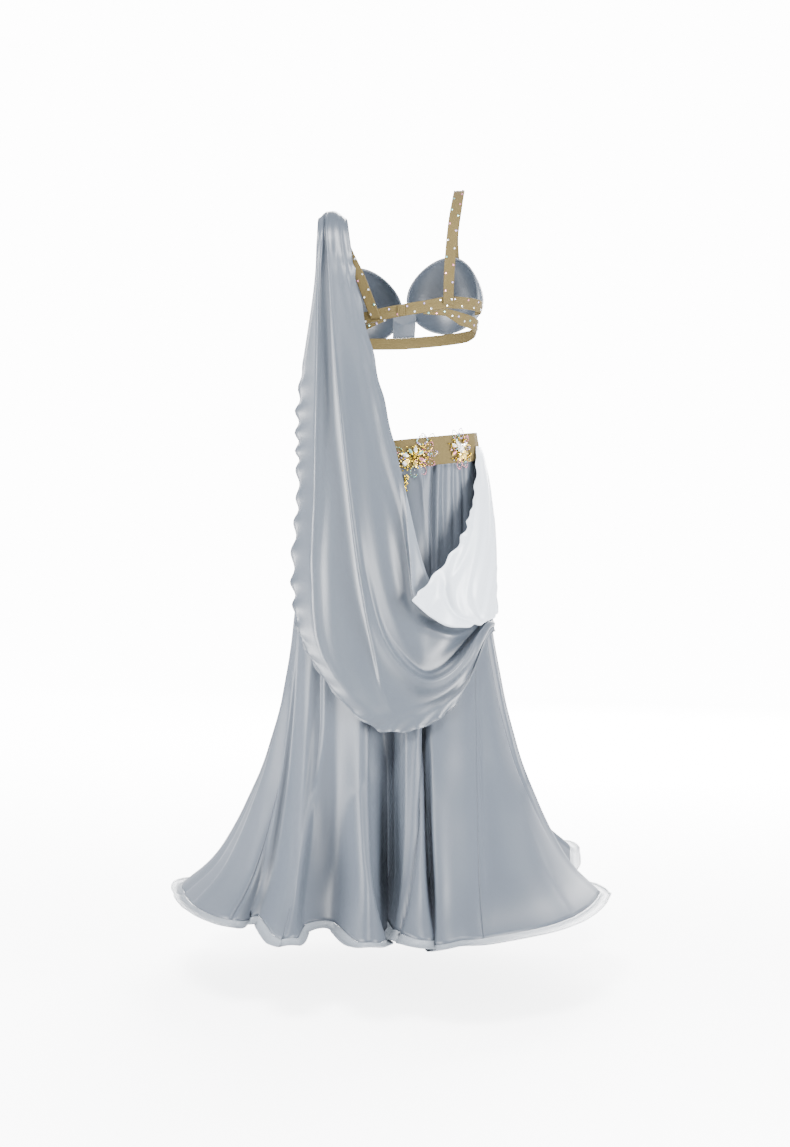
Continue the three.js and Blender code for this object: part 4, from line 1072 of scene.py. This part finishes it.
def cup_seat(side, s=0.05, t=0.84, step=0.05):
    """Where a strap is sewn on a cup's outer face."""
    across = cup_surface(side, s + step, t) - cup_surface(side, s - step, t)
    down = cup_surface(side, s, t - step) - cup_surface(side, s, t + step)
    normal = unit(np.cross(across, down))
    normal *= math.copysign(1, normal[1])
    out = (CUP_WALL + NET_WALL) / 2 + SEAM_GAP + FACET_ROOM
    return (*(cup_surface(side, s, t) + normal * out), side * -28)


RIGHT_STRAP = [
    band_seat(33, 0.75), (91, -99, 320, 10), (98, -88, 396, 4), (108, -46, 452, 0), (112, 2, 469, 0),
    (109, 52, 446, 0), (103, 90, 392, -14), cup_seat(1),
]
LEFT_STRAP = [
    band_seat(-22, 0), (-74, -98, 300, -8), (-97, -82, 350, -4), (-115, -43, 402, 0), (-122, 0, 428.1, 0),
    (-117, 38, 402, 0), (-101, 84, 356, 14), cup_seat(-1),
]


def strap_grid(stations, rows=180, columns=13):
    """A ribbon along a curve: x, y, z and the turn of its width, with a ridge at each edge."""
    path = smooth_through(stations, np.linspace(0, 1, rows))
    side = np.linspace(0.5, -0.5, columns) * STRAP_WIDTH
    turn = np.radians(path[:, 3])
    wide = np.stack([np.cos(turn), np.sin(turn), np.zeros(rows)], -1)
    points = path[:, None, :3] + side[None, :, None] * wide[:, None]
    ridge = 0.35 * bell((np.abs(side) - 8) / 1.2)
    return points - grid_normals(points) * (0.15 - ridge)[None, :, None]


strap_right_grid = strap_grid(RIGHT_STRAP)
strap_left_grid = crown_shoulder(strap_grid(LEFT_STRAP))
strap_right = net_object("net_strap_right", strap_right_grid)
strap_left = net_object("net_strap_left", strap_left_grid)


def tab_grid():
    """The tab lies on both bands, with a thick turned edge at each side."""
    u, v = even_grid(0, 1, 31, 14)
    angle = HOOK_ANGLE + 5.2 * (u - 0.5)
    z = band_line(angle, "band") + (BAND_HEIGHT - 2) * (0.5 - v)
    edges = bell((u - 0.10) / 0.07) + bell((u - 0.90) / 0.07) - bell((u - 0.24) / 0.05)
    return torso_point(angle, z, NET_WALL + SEAM_GAP + 0.9 * edges + 0.4)


hook_tab = net_object("net_hook_tab", tab_grid())
print("straps and tab built")

# %% [markdown]
# ## Stones
# A glued stone is a small faceted solid: an outline, a wider girdle and a flat top. Every
# facet gets its own tint, lighter or darker at random: a painted reflection, because a crystal
# shows a different part of the room in each facet.
# The stones of one flower are gathered in a store and become one mesh.

# %% Stone shapes and a store for them
def tinted_material(name, **constants):
    """A material that takes the tint of each facet: the stone's colour with its painted reflection."""
    material, tree, shader = new_material(name, **constants)
    tint = add_node(tree, "ShaderNodeAttribute", {"attribute_name": "tint"})
    feed(tree, shader, Base_Color=tint.outputs["Color"])
    return material


CRYSTAL = tinted_material("crystal", Roughness=0.08, Metallic=0.35, Specular_IOR_Level=0.9,
                          Coat_Weight=0.8, Coat_Roughness=0.03)
GOLD = tinted_material("gold plate", Roughness=0.22, Metallic=1.0)
STONE, METAL = 0, 1
TINTS = dict(
    clear=(0.80, 0.83, 0.86), aqua=(0.24, 0.60, 0.55), pink=(0.86, 0.30, 0.44), lilac=(0.52, 0.40, 0.76),
    champagne=(0.82, 0.58, 0.14), white=(0.90, 0.88, 0.85), gold=(0.52, 0.36, 0.025),
)


def cut_stone(outline, top=0.55):
    """A stone of height 1 on an outline of (x, y): base, girdle at 0.35 and flat top at 1."""
    outline = np.asarray(outline, float)
    n = len(outline)
    rings = [(0.82, 0.0), (1.0, 0.35), (top, 1.0)]
    points = np.concatenate([np.c_[outline * scale, np.full(n, height)] for scale, height in rings])
    faces = [list(range(n))[::-1], [2 * n + k for k in range(n)]]
    for ring in (0, n):
        faces += [[ring + k, ring + (k + 1) % n, ring + n + (k + 1) % n, ring + n + k] for k in range(n)]
    return points, faces


def oval(sides, width, point):
    """An outline of half length 1: round for point 1, pointed like a leaf for more."""
    turn = np.arange(sides) * TAU / sides
    return np.c_[width * np.sign(np.sin(turn)) * np.abs(np.sin(turn)) ** point, np.cos(turn)]


def ball(sides=8, rings=5):
    """A small sphere of radius 1, centred one radius up."""
    lift = np.linspace(-1, 1, rings + 2)[1:-1] * math.pi / 2
    turn = np.arange(sides) * TAU / sides
    circle = np.c_[np.cos(turn), np.sin(turn)]
    body = [np.c_[np.cos(a) * circle, np.full(sides, 1 + np.sin(a))] for a in lift]
    points = np.concatenate([[[0, 0, 0]], *body, [[0, 0, 2]]])
    last = len(points) - 1
    faces = [[0, 1 + (k + 1) % sides, 1 + k] for k in range(sides)]
    for ring in range(rings - 1):
        a, b = 1 + ring * sides, 1 + (ring + 1) * sides
        faces += [[a + k, a + (k + 1) % sides, b + (k + 1) % sides, b + k] for k in range(sides)]
    faces += [[last - sides + k, last - sides + (k + 1) % sides, last] for k in range(sides)]
    return points, faces


SHAPES = dict(
    round=cut_stone(oval(8, 1.0, 1)), small=cut_stone(oval(6, 1.0, 1)),
    marquise=cut_stone(oval(10, 0.5, 1.5), 0.5), ball=ball(), bead=ball(6, 3),
)


class StoneStore:
    """Collects shapes, their facet tints and materials, and makes one mesh of them."""

    def __init__(self):
        self.points, self.faces, self.tints, self.kinds, self.count = [], [], [], [], 0

    def add_mesh(self, points, faces, tint, kind, reflection_spread):
        """Adds a mesh in millimetres; each facet's tint is scaled by a random brightness, a painted
        reflection of the room.
        """
        self.points.append(points)
        self.faces += [[self.count + k for k in face] for face in faces]
        self.count += len(points)
        # Painted reflection: each facet is made lighter or darker, as if it mirrored another part of the
        # room.
        shade = rng.uniform(1 - reflection_spread, 1 + reflection_spread * 0.3, (len(faces), 1))
        self.tints.append(np.clip(np.array(TINTS[tint]) * shade, 0, 1))
        self.kinds += [kind] * len(faces)

    def add(self, shape, place, turn, size, tint, kind=STONE):
        """Adds a shape at a place (origin, right, up, out), turned in the surface's plane."""
        origin, right, up, out = place
        points, faces = SHAPES[shape]
        x, y, z = (points * size).T
        c, s = math.cos(turn), math.sin(turn)
        spun_x, spun_y = x * c + y * s, y * c - x * s
        world = origin + spun_x[:, None] * right + spun_y[:, None] * up + z[:, None] * out
        # Stones get a wider painted reflection than gold.
        self.add_mesh(world, faces, tint, kind, 0.75 if kind == STONE else 0.6)

    def make(self, name):
        """One mesh object of all that was added, with the tints as a colour attribute."""
        piece = make_object(name, np.concatenate(self.points), self.faces, CRYSTAL, smooth=False)
        piece.data.materials.append(GOLD)
        piece.data.polygons.foreach_set("material_index", np.array(self.kinds, np.int32))
        sides = np.array([len(face) for face in self.faces])
        colour = np.c_[np.concatenate(self.tints), np.ones(len(self.faces))]
        tint = piece.data.color_attributes.new(name="tint", type="FLOAT_COLOR", domain="CORNER")
        tint.data.foreach_set("color", np.repeat(colour, sides, 0).astype(np.float32).ravel())
        return piece


print("stone shapes:", ", ".join(SHAPES))

# %% [markdown]
# ## Flowers on the belt
# Each flower is sewn from the same few things: a gold bead, petals of long stones round it,
# loose leaves of wire set with small stones, and a little wreath. Two layouts take turns round
# the belt. A bunch of small gold beads hangs under every second flower.

# %% Build the flowers and the bead drops
HIP_RADIUS, FLOWER_DROP, GOLD_BEAD = 132, 30, ("gold", METAL)
FLOWER_ANGLES = (15, 48, 128, 160, 192, 224, 260, 300, 336)
# How far off the belt a bead drop hangs, by the number of its flower.
DROP_OUT = {1: -0.8, 3: -1.1, 5: -1.5, 7: 0.4, 9: -0.8}
# Centre of each layout: millimetres to the right of the flower's angle and down the belt.
CENTRES = dict(wide=(-11, 34), tall=(0, 28))
flower_seat = NET_WALL / 2 + SEAM_GAP + FACET_ROOM
# Leaves: middle to the right and up of the flower's centre, turn from upright, length, tint.
LEAVES = dict(
    wide=[(24, 15, 35, 21, "pink"), (31, 3, 80, 17, "lilac"), (25, -13, 120, 20, "pink"),
          (2, -27, 176, 21, "aqua"), (14, -26, 150, 19, "pink"), (-26, 14, -50, 19, "aqua"),
          (-28, -6, -95, 18, "clear")],
    tall=[(-10, 27, -18, 20, "aqua"), (5, 29, 10, 20, "lilac"), (17, 17, 48, 16, "pink"),
          (6, -25, 165, 22, "pink"), (15, -17, 135, 19, "champagne"), (-6, -28, -172, 18, "pink"),
          (18, 1, 90, 14, "lilac")],
)
# Petals: turn from upright, distance out, half length and tint.
PETALS = dict(
    wide=[(10, 13, 8, "clear"), (62, 13, 7, "aqua"), (118, 14, 7.5, "pink"), (172, 13, 8, "champagne"),
          (232, 14, 8, "champagne"), (286, 14, 8.5, "clear"), (330, 12, 7, "aqua")],
    tall=[(-62, 17, 7.5, "clear"), (-112, 17, 6, "pink"), (-30, 14, 8, "clear"),
          (158, 15, 9, "champagne"), (192, 14, 9, "champagne"), (125, 13, 8, "champagne"),
          (55, 13, 7, "clear")],
)
FILLER_COUNT, FILLER_REACH = 96, 29


def place_on_belt(angle, drop, out):
    """A place on the belt: its point and unit vectors to the right, up and out."""
    def at(a, d):
        return belt_point(np.float64(a), np.float64(d), out)

    right = unit(at(angle + 0.5, drop) - at(angle - 0.5, drop))
    up = at(angle, drop - 1) - at(angle, drop + 1)
    up = unit(up - right * np.dot(up, right))
    return at(angle, drop), right, up, np.cross(right, up)


def around(turn, reach):
    """x and y at a turn from upright and a distance."""
    return reach * math.sin(turn), reach * math.cos(turn)


def turns(count):
    """Even turns round a circle."""
    return [k * TAU / count for k in range(count)]


def wire_loop(path, radius, sides=4):
    """A thin round tube along a closed path: points and faces. Each ring lies square to it."""
    ahead = unit(np.roll(path, -1, 0) - np.roll(path, 1, 0))
    up = np.where(np.abs(ahead[:, 2:]) > 0.9, (1.0, 0.0, 0.0), (0.0, 0.0, 1.0))
    side = unit(np.cross(ahead, up))
    top = np.cross(side, ahead)
    turn = np.arange(sides)[:, None] * TAU / sides
    ring = np.cos(turn) * side[:, None] + np.sin(turn) * top[:, None]
    faces = grid_faces(len(path), sides, closed=True, wraps=True)
    return (path[:, None] + ring * radius).reshape(-1, 3), faces


def add_leaf(store, place_at, leaf):
    """A pointed loop of gold wire with small stones along it and one row down its middle."""
    x, y, turn, length, tint = leaf
    t = np.array(turns(14))
    side = 0.30 * length * np.sin(t) * np.abs(np.sin(t)) ** 0.5
    along = length / 2 * np.cos(t)
    s, c = around(math.radians(turn), 1)
    loop = list(zip(x + side * c + along * s, y + along * c - side * s))
    wire = np.array([place_at(*point, 0.6)[0] for point in loop])
    store.add_mesh(*wire_loop(wire, 0.45), *GOLD_BEAD, 0.5)
    for point in loop:
        store.add("small", place_at(*point, 0.8), rng.uniform(0, 1), (1.15, 1.15, 1.3), tint)
    for share in (-0.45, -0.1, 0.25):
        place = place_at(x + share * length * s, y + share * length * c, 0.6)
        store.add("small", place, 0, (1.0, 1.0, 1.2), "clear")


def build_flower(number, angle):
    """One flower in a store: filler, leaves, petals and centre, seated on the belt."""
    store = StoneStore()
    kind = "wide" if number % 2 else "tall"
    centre_x, centre_drop = CENTRES[kind]

    def place_at(x, y, lift):
        turned_angle = angle + math.degrees((x + centre_x) / HIP_RADIUS)
        return place_on_belt(turned_angle, centre_drop - y, flower_seat + lift)

    def gold_balls(points, lift, size, height):
        for x, y in points:
            store.add("ball", place_at(x, y, lift), 0, (size, size, height), *GOLD_BEAD)

    # Filler: beads and small stones scattered between the larger parts, denser in the middle.
    for k in range(FILLER_COUNT):
        a, reach = rng.uniform(0, TAU), FILLER_REACH * rng.uniform(0.05, 1) ** 0.7
        x, y = around(a, reach)
        place = place_at(x, 0.9 * y, 0.5)
        if k % 3:
            store.add("bead", place, a, (1.7, 1.7, 1.7), *GOLD_BEAD)
        else:
            tint = ("pink", "aqua", "champagne", "clear", "lilac")[k // 3 % 5]
            store.add("small", place, a, (1.7, 1.7, 2.0), tint)

    for leaf in LEAVES[kind]:
        add_leaf(store, place_at, leaf)
    for turn, reach, half, tint in PETALS[kind]:
        a = math.radians(turn)
        point, *axes = place_at(*around(a, reach), 1.2)
        store.add("marquise", (point, *axes), a, (half * 1.08, half * 1.02, 1.6), *GOLD_BEAD)
        store.add("marquise", (point + axes[2] * 0.8, *axes), a, (half * 0.86, half * 0.8, 3.0), tint)
        gold_balls([around(a + 0.35, reach + half)], 0.8, 1.5, 1.5)
    if kind == "wide":
        gold_balls([(0, 0)], 1.5, 4.2, 3.4)
        gold_balls([around(a, 6.2) for a in turns(9)], 1.4, 1.6, 1.6)
        for k, a in enumerate(turns(12)):
            place = place_at(13 + 9 * math.sin(a), 29 + 8 * math.cos(a), 0.8)
            store.add("small", place, a, (1.9, 1.9, 1.8), ("aqua", "clear", "lilac")[k % 3])
        store.add("round", place_at(-14, -11, 2.0), 0, (5.0, 5.0, 3.0), "white")
        gold_balls(((-21, -20), (-16, -24), (-9, -22), (27, 27), (22, 20), (-30, 20)), 0.6, 1.9, 1.9)
    else:
        store.add("round", place_at(0, 2, 2.5), 0, (4.2, 4.2, 3.2), "white")
        for a in turns(11):
            x, y = around(a, 6)
            store.add("marquise", place_at(x, 2 + y, 2.2), a, (3.6, 4.4, 1.6), "white")
        gold_balls(((-9, -8), (-12, -4), (-2, -12), (9, -9), (-14, 15), (10, 22)), 1.0, 1.8, 1.8)
    return store.make("stones_applique_%d" % number)


def build_bead_drop(number, angle, drop_out):
    """Three bunches of small gold beads on a string, in the places of the model's swells."""
    store = StoneStore()
    start, length, beads = FLOWER_DROP + 38 * 0.94, 34, 9
    for bunch, k in itertools.product(range(3), range(beads)):
        turn, share = k * 2.4 + bunch, (k + 0.5) / beads
        x, y = around(turn, 3.4 * math.sin(math.pi * share))
        place = place_on_belt(angle - 9 + math.degrees(x / 140), start + length * (bunch + share) / 3,
                              drop_out + 2.2 + y)
        store.add("bead", place, turn, (1.9, 1.9, 1.9), *GOLD_BEAD)
    return store.make("gold_bead_drop_%d" % number)


flowers, bead_drops = {}, {}
for number, angle in enumerate(FLOWER_ANGLES, 1):
    flowers[number] = build_flower(number, angle)
    if number in DROP_OUT:
        bead_drops[number] = build_bead_drop(number, angle, DROP_OUT[number])
print("flowers: %d, faces in the first: %d" % (len(flowers), len(flowers[1].data.polygons)))

# %% [markdown]
# ## Small stones on the straps
# The straps and the band carry a zigzag of single stones, glued by hand at an even step.

# %% Build the strap stones
STONE_STEP = 15.8


def build_stone_row(name, surface, half_width, side=1):
    """A zigzag of stones along a grid (rows along, columns across), on its outer side."""
    store = StoneStore()
    rows, columns = surface.shape[:2]
    along = lengths_along(surface[:, columns // 2])
    normals = grid_normals(surface)
    for distance in np.arange(STONE_STEP / 2, along[-1], STONE_STEP):
        row = int(np.searchsorted(along, distance))
        column = int(round((0.5 + 0.5 * side * half_width) * (columns - 1)))
        out = normals[row, column]
        ahead = unit(surface[min(row + 1, rows - 1), column] - surface[row - 1, column])
        place = (surface[row, column] + out * 0.55, np.cross(ahead, out), ahead, out)
        tint = ("clear", "aqua", "pink", "lilac", "clear")[rng.integers(5)]
        store.add("round", place, rng.uniform(0, 1), (2.0, 2.0, 1.5), tint)
        side = -side
    return store.make("stones_" + name)


def turned(grid):
    """The same surface with its rows and columns swapped, still facing out."""
    return np.swapaxes(grid, 0, 1)[:, ::-1]


stone_rows = [
    build_stone_row("strap_right", strap_right_grid, 0.62, -1),
    build_stone_row("strap_left", strap_left_grid, 0.62),
    build_stone_row("band_right", turned(band_right_grid), 0.60),
    build_stone_row("band_left", turned(band_left_grid), 0.60),
    build_stone_row("lower_strap", turned(lower_strap_grid()), 0.30),
]
print("strap stones:", sum(len(row.data.polygons) for row in stone_rows) // 18)

# %% [markdown]
# ## Say what each piece is
# Every piece rides on the part's one body and stands for its node.
# Cloth is listed as sheets with the size that it was cut to.

# %% Ride, replace and list the sheets
def stand_for(piece, slot, *nodes):
    """Says a piece's body and the nodes that it stands for, if any. The slot is not used."""
    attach(piece, "root")
    if nodes:
        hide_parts(*nodes)


# Every sheet: its slot, its node, its cut in metres (width and length of the smallest rectangle
# that holds it, and its flat area where it is not a rectangle), how it is held and on what.
gores = list(gore_objects.values())
both_bands = [band_right, band_left]
SHEETS = [
    (gores[0], "satin", "skirt_back", (1.22, 0.88), 0.51, "gathered", [belt]),
    (gores[1], "satin", "skirt_right", (0.98, 0.88), 0.37, "gathered", [belt]),
    (gores[2], "satin", "skirt_front", (0.84, 0.88), 0.34, "gathered", [belt]),
    (gores[3], "satin", "skirt_left", (0.86, 0.88), 0.32, "gathered", [belt]),
    (braid, "braid", "hem_braid", (4.10, 0.026), None, "hung", gores),
    (belt, "power_net", "hip_belt", (0.85, 0.054), None, "stretched", []),
    (drape, "satin", "drape_back", (0.42, 1.02), 0.32, "draped", [strap_left, flap]),
    (flap, "satin", "drape_hip_flap", (0.30, 0.34), 0.080, "draped", [belt]),
    (band_right, "power_net", "bra_band_right", (0.24, 0.022), None, "stretched", [cup_right]),
    (band_left, "power_net", "bra_band_left", (0.22, 0.022), None, "stretched", [cup_left]),
    (lower_strap, "power_net", "bra_lower_strap", (0.67, 0.022), None, "stretched", both_bands),
    (strap_right, "power_net", "bra_strap_right", (0.45, 0.020), None, "stretched",
     [band_right, cup_right]),
    (strap_left, "power_net", "bra_strap_left", (0.42, 0.020), None, "stretched",
     [band_left, cup_left]),
    (hook_tab, "power_net", "bra_hook_tab", (0.016, 0.021), None, "stretched", both_bands),
    (bridge, "satin", "bra_centre_bridge", (0.046, 0.055), None, "stretched", [cup_right, cup_left]),
]
for piece, slot, node, *cut in SHEETS:
    stand_for(piece, slot, node)
stand_for(cup_right, "satin", "bra_cup_right")
stand_for(cup_left, "satin", "bra_cup_left")
for number, piece in flowers.items():
    stand_for(piece, "stones", "applique_%d" % number)
for number, piece in bead_drops.items():
    stand_for(piece, "gold", "bead_drop_%d" % number)
for piece in stone_rows:
    stand_for(piece, "stones")

for piece, slot, node, flat, area, held, rests_on in SHEETS:
    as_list(rests_on)
flat_total = sum(area or math.prod(flat) for *_, flat, area, held, rests_on in SHEETS)
print("sheets:", len(SHEETS), "flat area %.2f m2" % flat_total)

# %% [markdown]
# ## Camera, light and floor
# The camera stands behind the wearer at waist height, as for a catalogue picture. Large soft
# lights from both sides keep the satin's highlights broad.

# %% Stage
def add_to_scene(name, data, location, rotation):
    """An object for a camera or a light, placed and turned."""
    item = bpy.data.objects.new(name, data)
    item.location, item.rotation_euler = location, rotation
    bpy.context.scene.collection.objects.link(item)
    return item


def add_softbox(name, location, target, size, power):
    """A round area light that faces its target."""
    data = bpy.data.lights.new(name, "AREA")
    data.shape, data.size, data.energy = "DISK", size, power
    x, y, z = np.subtract(target, location)
    tilt = math.acos(-z / math.hypot(x, y, z))
    return add_to_scene(name, data, location, (tilt, 0, math.atan2(x, -y) + math.pi))


CAMERA_PLACE, CAMERA_DROP, LENS, SENSOR = (-0.0095, -3.9, -0.056), 2.886, 64.4, 36
camera_data = bpy.data.cameras.new("camera")
camera_data.lens, camera_data.sensor_width = LENS, SENSOR
camera_turn = (math.radians(90 - CAMERA_DROP), 0, 0)
bpy.context.scene.camera = add_to_scene("camera", camera_data, CAMERA_PLACE, camera_turn)
add_softbox("left softbox", (-3.7, -1.0, -0.3), (0, 0, 0), 2.6, 700)
add_softbox("right softbox", (3.2, -2.5, -0.3), (0, 0, -0.2), 2.4, 700)
add_softbox("top", (-0.7, -1.9, 3.1), (0, 0, -0.2), 1.6, 400)
add_softbox("front", (0.9, 3.6, 1.4), (0, 0, -0.1), 3.0, 900)


def build_world():
    """A white studio: it lights the dress softly and shows white behind it."""
    world = bpy.data.worlds.new("studio")
    world.use_nodes = True
    tree = world.node_tree
    soft = feed(tree, tree.nodes["Background"], Color=(0.93, 0.95, 1.0, 1), Strength=1.1)
    shown = add_node(tree, "ShaderNodeBackground", Color=(1, 1, 1, 1), Strength=14.0)
    seen = add_node(tree, "ShaderNodeLightPath").outputs["Is Camera Ray"]
    choice = add_node(tree, "ShaderNodeMixShader")
    for socket, value in zip(choice.inputs, (seen, soft.outputs[0], shown.outputs[0])):
        connect(tree, socket, value)
    feed(tree, tree.nodes["World Output"], Surface=choice.outputs[0])
    return world


def build_floor_material():
    """A pale floor that brightens with distance, so that it runs into the white behind it."""
    material, tree, shader = new_material("floor", Roughness=0.9, Base_Color=(0.88, 0.88, 0.88, 1),
                                          Emission_Color=(1, 1, 1, 1))
    far = add_node(tree, "ShaderNodeVectorMath", {"operation": "LENGTH"})
    connect(tree, far.inputs[0], add_node(tree, "ShaderNodeTexCoord").outputs["Object"])
    glow = range_of(tree, far.outputs["Value"], 0.6, 5.0, 3.2, 13.0)
    seen = add_node(tree, "ShaderNodeLightPath").outputs["Is Camera Ray"]
    feed(tree, shader, Emission_Strength=math_node(tree, "MULTIPLY", glow, seen))
    return material


bpy.context.scene.world = build_world()
FLOOR_Z, FLOOR_REACH = -1020, 9000
corners = ((-1, -1), (1, -1), (1, 1), (-1, 1))
floor_points = [(FLOOR_REACH * x, FLOOR_REACH * y, FLOOR_Z) for x, y in corners]
floor = make_object("floor", floor_points, [[0, 1, 2, 3]], build_floor_material(), smooth=False)
print("stage ready")
